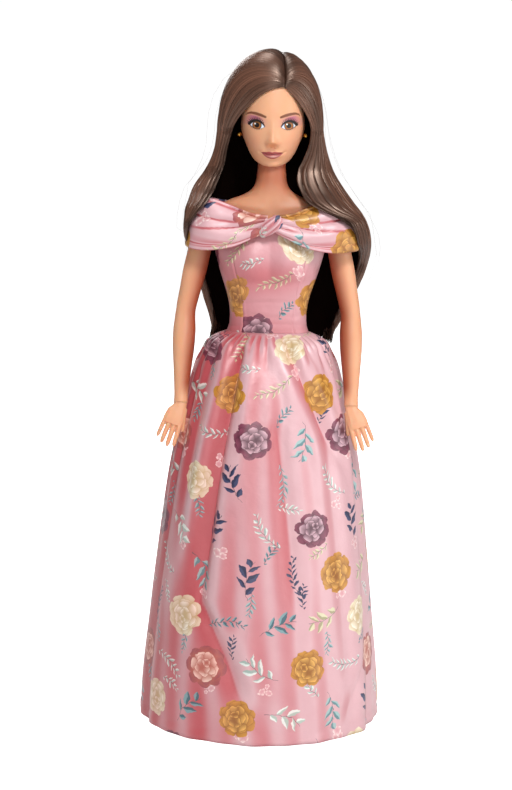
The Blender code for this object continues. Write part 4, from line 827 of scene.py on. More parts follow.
def plain_finish(name, light, dark, scale, bump_mm=0.02, stretch=(1, 1, 1), **values):
    """A hard finish with a faint variation of its colour and surface; scale is in features per metre."""
    material, tree, shader = material_of(name, **values)
    where = add(tree, "ShaderNodeTexCoord", output=3)
    sized = add(tree, VECTOR, [where, stretch], operation="MULTIPLY")
    noise = add(tree, "ShaderNodeTexNoise", {"Scale": scale, "Detail": 4.0, "Vector": sized}, "Fac")
    tree.links.new(over(tree, light, dark, noise), shader.inputs["Base Color"])
    bump = add(tree, "ShaderNodeBump", {"Strength": 0.3, "Distance": bump_mm / 1000, "Height": noise})
    tree.links.new(bump, shader.inputs["Normal"])
    return material


def hair_finish(name, inks, rough, gloss):
    """Rooted nylon fibre: smooth, glossy along its length, darker and lighter strands side by side, their tone field
    also carrying painted shade.
    """
    material, tree, shader = material_of(name, roughness=rough, ior=1.53)
    shader.inputs["Specular IOR Level"].default_value = gloss
    shader.inputs["Specular Tint"].default_value = hex_colour("#f3d3c0")
    tint = add(tree, "ShaderNodeAttribute", (), "Fac", attribute_name="tint")
    place = add(tree, "ShaderNodeUVMap", uv_map="cloth")
    streaks = []
    for across, along in ((150.0, 1.5), (420.0, 4.0)):
        drawn = add(tree, VECTOR, [place, (across, along, 1.0)], operation="MULTIPLY")
        streaks.append(add(tree, "ShaderNodeTexNoise", {"Scale": 1.0, "Detail": 2.0, "Vector": drawn}, "Fac"))
    fibre = add(tree, "MULTIPLY_ADD", [streaks[0], 0.55, add(tree, "MULTIPLY", [streaks[1], 0.45])])
    lit = add(tree, "MULTIPLY_ADD", [fibre, 3.8, -1.15], use_clamp=True)
    lit = add(tree, "MULTIPLY", [tint, lit])
    ramp_node = tree.nodes.new("ShaderNodeValToRGB")
    stops = ramp_node.color_ramp.elements
    for number, (at, ink) in enumerate(zip((0.0, 0.30, 1.0), inks)):
        stop = stops[0] if number == 0 else stops[1] if number == 2 else stops.new(at)
        stop.position = at
        stop.color = hex_colour(ink)
    tree.links.new(lit, ramp_node.inputs[0])
    tree.links.new(ramp_node.outputs[0], shader.inputs["Base Color"])
    split = add(tree, "ShaderNodeSeparateXYZ", {0: place}, 1)
    strength = add(tree, "ShaderNodeMapRange", {0: split, 1: 0.02, 2: 0.35, 3: 0.06, 4: 0.55})
    bump = add(tree, "ShaderNodeBump", {"Strength": strength, "Distance": 0.0001, "Height": fibre})
    tree.links.new(bump, shader.inputs["Normal"])
    return material


SATIN = satin()
SKIN = vinyl_skin("moulded_vinyl_skin")[0]
BODY = vinyl_skin("blow_moulded_body", "#edc2a4", roughness=0.40, subsurface_weight=0.15)[0]
NYLON = plain_finish("moulded_nylon", "#f3ede4", "#e2dacd", 400, roughness=0.35)
HINGE = plain_finish("acetal_hinge", "#e9c3a6", "#d9ae90", 500, roughness=0.38)
STEEL = plain_finish(
    "drawn_steel_pin", "#c9cbce", "#9fa3a8", 300, 0.004, (1, 1, 30), roughness=0.28, metallic=1.0
)
GOLD = plain_finish("plated_gold", "#e9b75c", "#c98f34", 900, 0.004, roughness=0.16, metallic=1.0)
TAPE = plain_finish("hook_and_loop_tape", "#f3eeea", "#d8cfc9", 2600, 0.15, roughness=0.85, sheen_weight=0.4)
SHOE = plain_finish("glossy_moulded_shoe", "#d8697f", "#c9566e", 250, 0.01, roughness=0.18, ior=1.5)
HAIR = hair_finish("nylon_hair", ("#0b0302", "#30150e", "#7b5342"), 0.35, 0.80)
# Painted shade: near-black inks for the hair's inner layer, which stands in for the shade deep inside the hair
HAIR_DEPTH_SHADE = hair_finish("nylon_hair_depth", ("#0b0403", "#120705", "#1a0b08"), 0.85, 0.03)
THREAD = plain_finish("sewing_thread", "#c98a90", "#b26f78", 3000, 0.02, roughness=0.6)
# The finish of each CAD node that isn't skin
NODE_FINISH = {
    "torso_front": BODY,
    "torso_back": BODY,
    "neck_knob": NYLON,
    "hip_axle": STEEL,
    "closure_loop": TAPE,
    "closure_hook": TAPE,
    "closure_flap": SATIN,
}
for _, side_name in SIDES:
    NODE_FINISH |= {"earring_" + side_name: GOLD, f"knee_{side_name}_pin": HINGE, "shoe_" + side_name: SHOE}


def torso_at(angle, z, grow=0.0):
    """Points on the torso's skin, or that far outside it. Angle 0 is the centre front."""
    share = (z - TORSO_BASE_Z) / TORSO_HEIGHT
    width, front, back = eased(TORSO_SHARES, share)
    power = 2.35 - 0.35 * ramp(share, 0.84, 0.88)
    s, c = rounded(angle, power)
    x = s * (width * CHEST_HALF_WIDTH + grow)
    y = -c * (np.where(c > 0, front * CHEST_FRONT, back * CHEST_BACK) + grow)
    lift = bell(z - BUST_Z, 0.75 * BUST_SPREAD)
    left, right = bell(x - BUST_SPREAD, 0.7 * BUST_SPREAD), bell(x + BUST_SPREAD, 0.7 * BUST_SPREAD)
    swell = 0.5 * (left + right + np.sqrt((left - right) ** 2 + 0.02))
    y = y - np.where(c > 0, BUST_FULLNESS * lift * swell * np.clip(3 * c, 0, 1), 0)
    return stack(x, y, z)


def turned_from(angle, place):
    """How far an angle is from a place, the short way round."""
    return (angle - place + math.pi) % (2 * math.pi) - math.pi


GATHERS = np.random.default_rng(11).uniform(0, 1, (46, 3))


def skirt_relief(angle, share):
    """How far the skirt's waves, long folds and gathers stand out."""
    wide, front, back = eased(SKIRT_SHARES, share)
    fall = 1 - share
    reach = np.hypot(np.sin(angle) * wide, np.cos(angle) * front)
    radius = reach * HEM_RADIUS
    waves = 0.62 * np.cos(11 * angle + 0.9) + 0.38 * np.cos(7 * angle - 0.5)
    out = WAVE_DEPTH * np.clip(fall / 0.16, 0, 1) * waves
    out += 0.0003 * np.clip(fall / 0.3, 0, 1) * np.cos(23 * angle + 5.0 * share + 1.1)
    for start, stop, high, low, near, far, deep, crests, lean in FOLD_SHARES:
        t = np.clip((high - share) / (high - low), 0, 1)
        gap = turned_from(angle, start + (stop - start) * t) * reach / (near + (far - near) * t)
        shown = ramp(share, low - 0.03, low + 0.16) * (1 - ramp(share, high - 0.05, high + 0.01))
        valley = hump(gap, 1 - np.copysign(lean, gap))
        crest = hump(abs(gap) - 1.9, 1.25)
        crease = hump(gap + 0.25 * np.sin(9 * share), 0.30)
        out += HEM_RADIUS * deep * shown * (crests * crest - valley - 0.10 * crease)
    # Gathers: narrow dents that hang from the waist seam, each with its own length and depth
    for i, (place, long, deep) in enumerate(GATHERS):
        centre = (i + 0.7 * place) / len(GATHERS) * 2 * math.pi - math.pi
        length = 0.030 + 0.065 * long
        gap = turned_from(angle, centre) * radius
        width = 0.00060 + 0.020 * fall * (0.6 + 0.5 * deep)
        along = ramp(fall, 0.0, 0.010) * (1 - ramp(fall, 0.3 * length, 1.6 * length))
        out -= (0.0010 + 0.0009 * deep) * along * hump(gap, width)
    puff = 0.0009 * hump(fall - 0.022, 0.016)
    return (out + puff) * np.clip(fall / 0.012, 0, 1)


def skirt_at(angle, share):
    """Points on the skirt at a share of the waist's height."""
    wide, front, back = eased(SKIRT_SHARES, share)
    out = skirt_relief(angle, share)
    x = np.sin(angle) * (wide * HEM_RADIUS + out)
    y = -np.cos(angle) * (np.where(np.cos(angle) > 0, front, back) * HEM_RADIUS + out)
    return stack(x, y, share * WAIST_Z)


def flat_places(points, start=0.0):
    """UV places in millimetres of cloth: along each row from the middle column, and down the columns."""
    step = np.linalg.norm(np.diff(points, axis=1), axis=-1)
    along = np.concatenate([np.zeros((len(points), 1)), np.cumsum(step, axis=1)], axis=1)
    along -= along[:, along.shape[1] // 2][:, None]
    down = np.linalg.norm(np.diff(points, axis=0), axis=-1).mean(1)
    drop = np.concatenate([[0.0], np.cumsum(down)])
    return 1000 * stack(along + start, drop[:, None])


def cloth_area(points):
    """The area of a grid of cloth, in square metres."""
    across = np.diff(points, axis=1)[:-1]
    down = np.diff(points, axis=0)[:, :-1]
    return float(np.linalg.norm(np.cross(across, down), axis=-1).sum())


def make_skirt():
    """Three gores from the waist seam to the hem, with a turned and stitched hem."""
    quarter = 0.5 * math.pi
    gores = (
        ("skirt_front", -quarter, quarter, 300, 0.0),
        ("skirt_back_left", quarter, 2 * quarter, 150, 0.17),
        ("skirt_back_right", -2 * quarter, -quarter, 150, -0.17),
    )
    drop = np.concatenate([np.linspace(0, 0.10, 46)[:-1], np.linspace(0.10, 1.0, 105)])
    for name, start, stop, columns, shift in gores:
        angle = np.linspace(start, stop, columns)[None, :]
        share = (1 - drop)[:, None]
        points = skirt_at(angle + 0 * share, share + 0 * angle)
        relief = skirt_relief(angle + 0 * share, share + 0 * angle)
        # Painted shade: darker in the folds' hollows, on one side of each fold and towards the doll's right, where
        # less light falls
        turned = np.gradient(relief, axis=1) / (angle[0, 1] - angle[0, 0]) / 0.010
        shade = 0.31 - 0.24 * relief / 0.0015 - 0.46 * np.tanh(turned) - 0.56 * np.sin(angle)
        # The seam edges turn in a little
        edge = np.minimum(angle - start, stop - angle) * 0.04
        points[..., :2] *= 1 - 0.010 * np.exp(-edge / 0.0006)[..., None]
        # The turned hem is a little thicker, up to its line of stitches
        hem = points[..., 2]
        thick = 1 + 0.006 * (1 - ramp(hem, 0.0036, HEM_STITCH_Z)) - 0.008 * bell(hem - 0.0040, 0.0003)
        points[..., :2] *= thick[..., None]
        shade = {"shade": np.clip(shade, 0, 1)}
        piece = cloth_sheet(name + "_gore", points, flat_places(points, shift), SATIN, fields=shade)
        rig.ride(piece, "torso")
        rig.replaces(piece, name)
        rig.slot(piece, "gown_satin")
        area = cloth_area(points)
        hem_width = float(np.linalg.norm(np.diff(points[-1], axis=0), axis=-1).sum())
        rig.sheet(
            piece,
            flat=(round(hem_width, 3), SKIRT_DROP),
            held="gathered",
            rests_on=["torso_front"],
            area=round(area, 5),
        )


def bodice_top(angle):
    """The height of the bodice's upper edge, which rises behind the knot."""
    return BODICE_TOP_Z + BODICE_PEAK * bell(angle, 0.34)


def princess_at(share):
    """The angle of a princess seam at a share of the bodice's height."""
    return (0.105 + 0.013 * np.clip(share, 0, 1) ** 1.4) * 2 * math.pi


def bodice_at(angle, z):
    """Points on the fitted bodice, with its princess seams pulled in and soft creases above the waist."""
    share = (z - WAIST_Z) / (bodice_top(angle) - WAIST_Z)
    points = torso_at(angle, z, BODICE_EASE + CLOTH)
    out = np.zeros_like(angle + z)
    turn = 2 * math.pi
    seam = princess_at(share)
    radius = CHEST_HALF_WIDTH * 0.75
    for place in (seam, -seam, 0.25 * turn, -0.25 * turn):
        gap = turned_from(angle, place) * radius
        out -= 0.00035 * hump(gap, 0.00035)
        out += 0.00012 * hump(abs(gap) - 0.0011, 0.0006)
    # Creases where the waist bends, and a few long ones that lean towards the seams
    crease = np.sin(2.3 * angle + 1.0) * 0.0011
    for height, reach, deep, lean in (
        (0.0040, 1.6, 0.30, 0.8), (0.0085, 1.1, 0.26, -0.9), (0.0140, 0.8, 0.22, 0.6)
    ):
        line = z - WAIST_Z - height - lean * crease
        out -= deep / 1000 * hump(line, 0.0011) * hump(angle, reach)
        out += 0.6 * deep / 1000 * hump(line - 0.0019, 0.0014) * hump(angle, reach)
    under = hump(z - 0.1975, 0.0022) * np.clip(np.cos(angle), 0, 1)
    out -= 0.0005 * under
    direction = points - stack(0 * points[..., 0], 0 * points[..., 0], points[..., 2])
    direction /= np.maximum(np.linalg.norm(direction, axis=-1, keepdims=True), 1e-9)
    return points + out[..., None] * direction


def make_bodice():
    """Five fitted panels between princess seams, side seams and the centre back."""
    turn = 2 * math.pi
    side = lambda share: 0.25 * turn + 0 * share
    back = lambda share: 0.4985 * turn + 0 * share
    minus = lambda edge: (lambda share: -edge(share))
    panels = (
        ("bodice_front", minus(princess_at), princess_at, 110, 0.0),
        ("bodice_side_left", princess_at, side, 60, 0.023),
        ("bodice_side_right", minus(side), minus(princess_at), 60, -0.023),
        ("bodice_back_left", side, back, 80, 0.052),
        ("bodice_back_right", minus(back), minus(side), 80, -0.052),
    )
    share = np.linspace(1, 0, 100)[:, None]
    for name, low, high, columns, shift in panels:
        t = np.linspace(0, 1, columns)[None, :]
        angle = low(share) + (high(share) - low(share)) * t
        points = bodice_at(angle, WAIST_Z - 0.0004 + share * (bodice_top(angle) - WAIST_Z))
        # Painted shade: darker below the bust, towards the waist seam and on the doll's right, lighter across the top
        # of the bust
        shade = 0.34 + 0.42 * bell(points[..., 2] - 0.2005, 0.0052) * bell(angle, 0.62) - 0.20 * np.sin(angle)
        shade = shade + 0.25 * bell(share, 0.12) - 0.15 * bell(points[..., 2] - 0.2085, 0.003)
        shade = {"shade": np.clip(shade, 0, 1)}
        piece = cloth_sheet(
            name + "_panel", points, flat_places(points, shift) + (0, 7.0), SATIN, 0.0007, shade
        )
        tall = float(np.linalg.norm(np.diff(points, axis=0), axis=-1).sum(0).max())
        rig.ride(piece, "torso")
        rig.replaces(piece, name)
        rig.slot(piece, "gown_satin")
        width = float(np.linalg.norm(np.diff(points, axis=1), axis=-1).sum(1).max())
        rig.sheet(
            piece,
            flat=(round(width, 3), round(tall, 3)),
            held="stretched",
            rests_on=["torso_front"],
            area=round(cloth_area(points), 6),
        )


def band_bend(side):
    """Where half of the band starts and ends its turn with the arm, in metres."""
    return dict(start=(side * 0.021, 0, 0.222), end=(side * 0.034, 0, 0.222))


def band_rows(u):
    """The band's top, middle and foot points along its half length, from the centre front to the back."""
    table = [(row[0], *row[1], *row[2], *row[3]) for row in BAND_SHARES]
    columns = eased(table, u)
    found = []
    for x, y, z in (columns[0:3], columns[3:6], columns[6:9]):
        depth = np.where(y < 0, BAND_FRONT, BAND_BACK)
        found.append(stack(x * BAND_HALF_WIDTH, y * depth, BAND_FOOT_Z + z * BAND_HEIGHT))
    return found


def band_at(u, v, side):
    """Points on half of the draped band, with folds that run out from the knot, and a rolled lower edge."""
    top, middle, foot = band_rows(u)
    control = 2 * middle - 0.5 * (top + foot)
    w = v[..., None]
    points = (1 - w) ** 2 * top + 2 * w * (1 - w) * control + w**2 * foot
    reach = np.array([BAND_HALF_WIDTH, BAND_FRONT])
    out = stack(points[..., 0] / reach[0] ** 2, points[..., 1] / reach[1] ** 2, 0.25 * (1 - v) / BAND_HEIGHT)
    out /= np.linalg.norm(out, axis=-1, keepdims=True)
    near = hump(u, 0.16)
    long = hump(u - 0.22, 0.24)
    folds = 0.00065 * near * np.cos(2 * math.pi * (3.4 * v + 0.15))
    folds += 0.00060 * long * np.cos(2 * math.pi * (2.2 * v + 1.3 * u + 0.1))
    folds += 0.00035 * ramp(u, 0.25, 0.5) * np.cos(2 * math.pi * (1.4 * v - 1.1 * u + 0.4))
    folds -= 0.0009 * hump(v - 0.50 - 0.55 * (u - 0.2), 0.055) * hump(u - 0.25, 0.16)
    folds -= 0.0007 * hump(v - 0.30 - 0.25 * u, 0.05) * hump(u - 0.42, 0.14)
    edge = 0.0004 * hump(v - 0.02, 0.04) + 0.0003 * hump(v - 0.97, 0.03)
    stitched = -0.0002 * hump(v - 0.90, 0.012)
    points = points + (CLOTH + (folds + stitched) * ramp(v, -0.02, 0.06) + edge)[..., None] * out
    points[..., 0] -= (side < 0) * 0.0022 * ramp(points[..., 0], 0.032, 0.039)
    points[..., 0] *= side
    return points


def make_band():
    """The off-the-shoulder band in two halves that bend with the arms, and its knot."""
    for side, label in SIDES:
        u = np.linspace(0.002, 1, 200)[None, :]
        v = np.linspace(0, 1, 56)[:, None]
        points = band_at(u + 0 * v, v + 0 * u, side)
        if side < 0:
            points = points[:, ::-1]
        uv = flat_places(points, side * 0.09) + (0, 30.0)
        # Painted shade: darker in the hollows of the band's folds
        hollow = np.diff(points[..., 1], 2, axis=0, prepend=points[:1, :, 1], append=points[-1:, :, 1])
        shade = {"shade": np.clip(0.26 - hollow / 0.00004, 0, 0.9)}
        piece = cloth_sheet(f"band_{label}_drape", points, uv, SATIN, fields=shade)
        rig.blend(piece, "torso", "upper_arm_" + label, **band_bend(side))
        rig.replaces(piece, "band_" + label)
        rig.slot(piece, "gown_satin")
        length = float(np.linalg.norm(np.diff(points[28], axis=0), axis=-1).sum())
        flat = (round(length, 3), BAND_CUT)
        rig.sheet(piece, flat=flat, held="gathered", rests_on=["torso_front"], area=round(cloth_area(points), 6))
    # The knot: a short twisted roll whose folds cross from one half of the band to the other
    t = np.linspace(0, 1, 60)[:, None]
    turn = np.linspace(0, 2 * math.pi, 96, endpoint=False)[None, :]
    full = np.sin(math.pi * np.clip(t, 0.02, 0.98)) ** 0.55
    fold = 1 + 0.16 * np.cos(6 * turn + 7.0 * t) * full
    half_wide, thick = 0.0042 * full * fold, 0.0022 * full * fold
    lean = (t - 0.5) * 0.0062
    x = -lean + half_wide * np.sin(turn)
    y = -1.05 * BAND_FRONT - 0.0012 + 0.14 * t * BAND_FRONT - thick * (0.6 + np.cos(turn))
    z = BAND_FOOT_Z + (0.76 - 0.46 * t) * BAND_HEIGHT + 0 * turn
    # Painted shade: darker in the valleys between the knot's folds
    shade = 0.32 - 0.34 * np.cos(6 * turn + 7.0 * t)
    cut = lambda spots: 1000 * spots[:, [0, 2]] + (4.0, 3.0)
    knot = loft("band_knot", stack(x, y, z)[:, ::-1], SATIN, {"shade": shade[:, ::-1]}, cut)
    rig.ride(knot, "torso")
    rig.replaces(knot, "band_twist")
    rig.slot(knot, "gown_satin")


def stitch_line(name, path, body, pitch=0.0011, length=0.0008, radius=0.00011):
    """A row of stitches along a path, made by Geometry Nodes as short rounded dashes."""
    mesh = bpy.data.meshes.new(name + "_path")
    mesh.from_pydata([tuple(p) for p in path], [(i, i + 1) for i in range(len(path) - 1)], [])
    obj = object_of(name, mesh)
    tree, at, out = group_of(
        name + "_stitches",
        [
            ("Geometry", "NodeSocketGeometry"),
            ("Pitch", "NodeSocketFloat"),
            ("Length", "NodeSocketFloat"),
            ("Radius", "NodeSocketFloat"),
        ],
        [("Geometry", "NodeSocketGeometry")],
        "GeometryNodeTree",
    )
    curve = add(tree, "GeometryNodeMeshToCurve", {0: at["Geometry"]})
    points = add(
        tree, "GeometryNodeCurveToPoints", {"Curve": curve, "Length": at["Pitch"]}, None, mode="LENGTH"
    )
    dash = add(
        tree, "GeometryNodeMeshCylinder", {"Vertices": 6, "Radius": at["Radius"], "Depth": at["Length"]}, "Mesh"
    )
    turned = add(
        tree, "FunctionNodeAlignRotationToVector", {"Vector": points.outputs["Tangent"]}, axis="Z"
    )
    placed = add(
        tree,
        "GeometryNodeInstanceOnPoints",
        {"Points": points.outputs["Points"], "Instance": dash, "Rotation": turned},
    )
    real = add(tree, "GeometryNodeRealizeInstances", {0: placed})
    painted = add(tree, "GeometryNodeSetMaterial", {"Geometry": real, "Material": THREAD})
    tree.links.new(painted, out.inputs[0])
    run_nodes(obj, tree, dict(Pitch=pitch, Length=length, Radius=radius))
    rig.slot(obj, "gown_satin")
    if body:
        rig.ride(obj, body)
    return obj


def make_stitches():
    """Stitches along the hem and beside the princess seams."""
    angle = np.linspace(-math.pi, math.pi, 900)
    hem = skirt_at(angle, np.full_like(angle, HEM_STITCH_Z / WAIST_Z))
    hem[:, :2] *= 1.0015
    stitch_line("hem_stitches", hem, "torso", pitch=0.0016, length=0.0011)
    share = np.linspace(0.03, 0.97, 60)
    for side, label in SIDES:
        seam = side * (princess_at(share) + 0.045)
        path = bodice_at(seam, WAIST_Z + share * (bodice_top(seam) - WAIST_Z))
        stitch_line(f"princess_stitches_{label}", path, "torso", pitch=0.0013, length=0.0009, radius=0.00008)
        u = np.linspace(0.06, 0.98, 160)
        edge = band_at(u, np.full_like(u, 0.90), side)
        row = stitch_line(f"band_stitches_{label}", edge, None, pitch=0.0014, length=0.0010, radius=0.00009)
        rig.blend(row, "torso", "upper_arm_" + label, **band_bend(side))


def head_surface(direction, relief=None):
    """Points on the head along unit directions from its middle; relief is a function of x and z in millimetres."""
    sx, sy, sz = (direction[..., i] for i in range(3))
    x = HEAD_HALF_WIDTH * sx
    y = np.where(sy < 0, HEAD_FRONT, HEAD_BACK) * np.sign(sy) * abs(sy) ** 0.92
    z = np.where(sz > 0, CROWN_RISE, CHIN_SHARE * JAW_DROP) * sz
    x = x * (1 - 0.18 * np.clip(-sz, 0, 1) ** 1.5)
    jaw = -CHIN_SHARE * JAW_DROP + JAW_SLOPE * (y + 0.80 * HEAD_FRONT)
    soft = 0.05 * JAW_DROP
    z = soft * np.logaddexp(z / soft, jaw / soft)
    if relief is not None:
        y = y - np.where(sy < 0, relief(1000 * x, 1000 * z) / 1000 * np.clip(-3 * sy, 0, 1), 0)
    ear = bell(y - 0.10 * HEAD_BACK, 0.085 * HEAD_BACK) * bell(z + 0.16 * JAW_DROP, 0.17 * JAW_DROP)
    inner = bell(y - 0.10 * HEAD_BACK, 0.040 * HEAD_BACK) * bell(z + 0.16 * JAW_DROP, 0.09 * JAW_DROP)
    lift = 0.075 * ear - 0.030 * inner
    x = x + np.sign(x) * lift * HEAD_HALF_WIDTH * np.clip(abs(sx) * 1.5, 0, 1)
    return stack(x, y, z + HEAD_CENTRE_Z)


# The face's own relief in millimetres: lift, place out from the middle, spread, height, spread
FACE_FORMS = (
    (-1.05, 6.8, 2.7, -1.4, 2.4),  # eye socket
    (0.90, 6.9, 2.2, -1.9, 1.5),  # eyeball
    (0.35, 6.6, 3.8, 2.4, 1.3),  # brow
    (0.60, 0.0, 1.35, -8.9, 1.1),  # tip of the nose
    (0.90, 1.85, 0.75, -10.1, 0.85),  # wing of the nose
    (-0.50, 0.85, 0.40, -11.3, 0.32),  # nostril
    (-0.16, 0.0, 0.50, -12.5, 0.70),  # groove above the lip
    (0.50, 0.0, 4.2, -14.6, 2.2),  # mouth
    (0.45, 1.3, 1.7, -13.75, 0.45),  # upper lip
    (0.80, 0.0, 2.3, -15.35, 0.65),  # lower lip
    (-0.45, 0.0, 3.9, -14.30, 0.26),  # between the lips
    (-0.30, 5.3, 0.60, -14.3, 0.70),  # corner of the mouth
    (-0.40, 0.0, 2.8, -17.3, 0.65),  # under the lip
    (1.10, 0.0, 3.4, -20.3, 1.7),  # chin
    (0.70, 7.4, 3.4, -8.8, 3.8),  # cheek
)
EYE_INNER = (3.6, -2.45)
EYE_OUTER = (10.3, -1.25)
IRIS = (6.95, -1.75)
IRIS_RADIUS = 2.05
MOUTH_HALF = 4.6
MOUTH_Z = -14.30
SMILE = 0.034  # how much the lips curve, per millimetre


def face_lift(x, z):
    """How far the face stands out of the plain egg, in millimetres."""
    side = abs(x)
    ridge = np.clip((1.2 - z) / 10.2, 0, 1)
    lift = 2.7 * ridge**1.4 * bell(np.minimum(0, z + 9.1), 0.85) * bell(x, 1.20 + 0.50 * ridge)
    for rise, out, wide, height, tall in FACE_FORMS:
        level = z - SMILE * np.minimum(side, 6) ** 2 if -17 < height < -13.5 else z
        lift = lift + rise * bell(side - out, wide) * bell(level - height, tall)
    above = z - eye_edges(side)[0]
    open_eye = np.clip(np.sin(math.pi * np.clip((side - 3.3) / 7.2, 0, 1)), 0, 1)
    lift = lift + 0.22 * open_eye * bell(above - 0.30, 0.28) - 0.16 * open_eye * bell(above - 1.15, 0.22)
    return lift


def eye_edges(side):
    """Heights of the upper and lower lid at a place out from the middle, in millimetres."""
    share = np.clip((side - EYE_INNER[0]) / (EYE_OUTER[0] - EYE_INNER[0]), 0, 1)
    line = EYE_INNER[1] + (EYE_OUTER[1] - EYE_INNER[1]) * share
    hump = np.sin(math.pi * share**0.90) ** 0.72
    return line + 2.00 * hump, line - 1.55 * np.sin(math.pi * share**1.1) ** 0.80


def stroke(x, z, points, half):
    """Signed distance to a painted stroke along points, whose half width changes from point to point."""
    found = np.full(np.shape(x), 99.0)
    for (ax, az), (bx, bz), ha, hb in zip(points, points[1:], half, half[1:]):
        dx, dz = bx - ax, bz - az
        t = np.clip(((x - ax) * dx + (z - az) * dz) / (dx * dx + dz * dz), 0, 1)
        found = np.minimum(found, np.hypot(x - ax - t * dx, z - az - t * dz) - (ha + (hb - ha) * t))
    return found


def face_fields(points):
    """Signed distances, in millimetres, to each painted part of the face, for every point of the head."""
    x = 1000 * points[..., 0]
    z = 1000 * (points[..., 2] - HEAD_CENTRE_Z)
    behind = np.where(points[..., 1] > -0.002, 20.0, 0.0)
    side = abs(x)
    upper, lower = eye_edges(side)
    ends = np.maximum(EYE_INNER[0] - side, side - EYE_OUTER[0])
    eye = np.maximum.reduce([z - upper, lower - z, ends])
    spots = np.linspace(EYE_INNER[0] - 0.1, EYE_OUTER[0], 14)
    lid = [(s, float(eye_edges(s)[0]) + 0.12) for s in spots] + [(11.1, -0.75)]
    weight = [0.14, *np.linspace(0.30, 0.66, 13), 0.06]
    line = stroke(side, z, lid, weight)
    for s, lean, long in (
        (4.4, -0.5, 1.0),
        (5.0, -0.38, 1.25),
        (5.6, -0.24, 1.4),
        (6.2, -0.1, 1.55),
        (6.8, 0.05, 1.65),
        (7.4, 0.2, 1.75),
        (8.0, 0.35, 1.8),
        (8.6, 0.5, 1.85),
        (9.1, 0.65, 1.9),
        (9.6, 0.82, 1.9),
        (10.1, 1.02, 1.8),
    ):
        root = (s, float(eye_edges(s)[0]) + 0.2)
        bow = (s + 0.45 * long * math.sin(lean - 0.25), root[1] + 0.5 * long * math.cos(lean))
        tip = (s + long * math.sin(lean), root[1] + long * math.cos(lean) * 1.02)
        line = np.minimum(line, stroke(side, z, [root, bow, tip], [0.21, 0.15, 0.03]))
    rim = stroke(side, z, [(s, float(eye_edges(s)[1]) - 0.05) for s in spots], [0.08] * 5 + [0.16] * 9)
    for s in (5.0, 5.7, 6.4, 7.1, 7.8, 8.5, 9.1, 9.6):
        root = float(eye_edges(s)[1])
        tip = (s + 0.12 * (s - 5.5), root - 0.55 - 0.05 * s)
        rim = np.minimum(rim, stroke(side, z, [(s, root), tip], [0.10, 0.02]))
    crease = [(s, float(eye_edges(s)[0]) + 1.15) for s in np.linspace(4.4, 10.0, 9)]
    crease = stroke(side, z, crease, [0.04] + [0.11] * 7 + [0.03])
    brow_line = [(3.4, 1.8), (5.4, 2.6), (7.6, 3.25), (9.6, 3.6), (11.0, 3.3), (11.9, 2.6)]
    brow = stroke(side, z, brow_line, [0.48, 0.62, 0.62, 0.50, 0.34, 0.08])
    brow = brow + 0.08 * np.sin(9.0 * side + 5.0 * z)
    under_brow = np.interp(side, [spot[0] for spot in brow_line], [spot[1] for spot in brow_line])
    ball_x, ball_z = side - IRIS[0], z - IRIS[1]
    glint = np.hypot(x - np.sign(x) * IRIS[0] + 0.85, ball_z - 0.60) - 0.34
    full = np.clip(1 - (x / MOUTH_HALF) ** 2, 0, 1)
    lip_line = MOUTH_Z + SMILE * x**2
    bow_top = 0.98 * full**0.60 + 0.24 * bell(side - 1.20, 0.70) - 0.12 * bell(x, 0.5)
    lips = np.maximum.reduce([z - lip_line - bow_top, lip_line - 1.95 * full**0.80 - z, side - MOUTH_HALF])
    fields = {
        "eye_white": eye,
        "iris_reach": np.hypot(ball_x, ball_z),
        "iris_turn": np.arctan2(ball_z, ball_x),
        "glint": glint,
        "lash_line": line,
        "lower_rim": rim,
        "lid_crease": crease,
        "brow": brow,
        "lips": lips,
        "lip_parting": abs(z - lip_line) + np.where(side > MOUTH_HALF + 0.3, 9, 0),
    }
    fields = {key: value + behind for key, value in fields.items()}
    fields["eye_shadow"] = (
        bell(side - 8.0, 2.7) * ramp(z, upper - 0.8, upper + 0.4) * (
            1 - ramp(z, under_brow - 1.5, under_brow - 0.3)
        )
    ) * (behind == 0)
    fields["lid_shade"] = 1 - ramp(upper - z, 0.0, 1.1)
    # Painted shade: a warm, darker patch under the tip of the nose
    fields["nose_warm"] = bell(x, 1.7) * bell(z + 10.3, 1.1) * (behind == 0)
    # Painted highlight: a pale stripe across the lower lip
    fields["lip_light"] = bell(x - 0.3, 1.5) * bell(z - lip_line + 1.0, 0.24) * (behind == 0)
    fields["blush"] = bell(side - 8.2, 3.0) * bell(z + 8.6, 3.2) * (behind == 0)
    fields["ear_shade"] = bell(1000 * points[..., 1] - 1.6, 2.2) * bell(z + 3.3, 4.2) * ramp(side, 11, 13)
    return fields


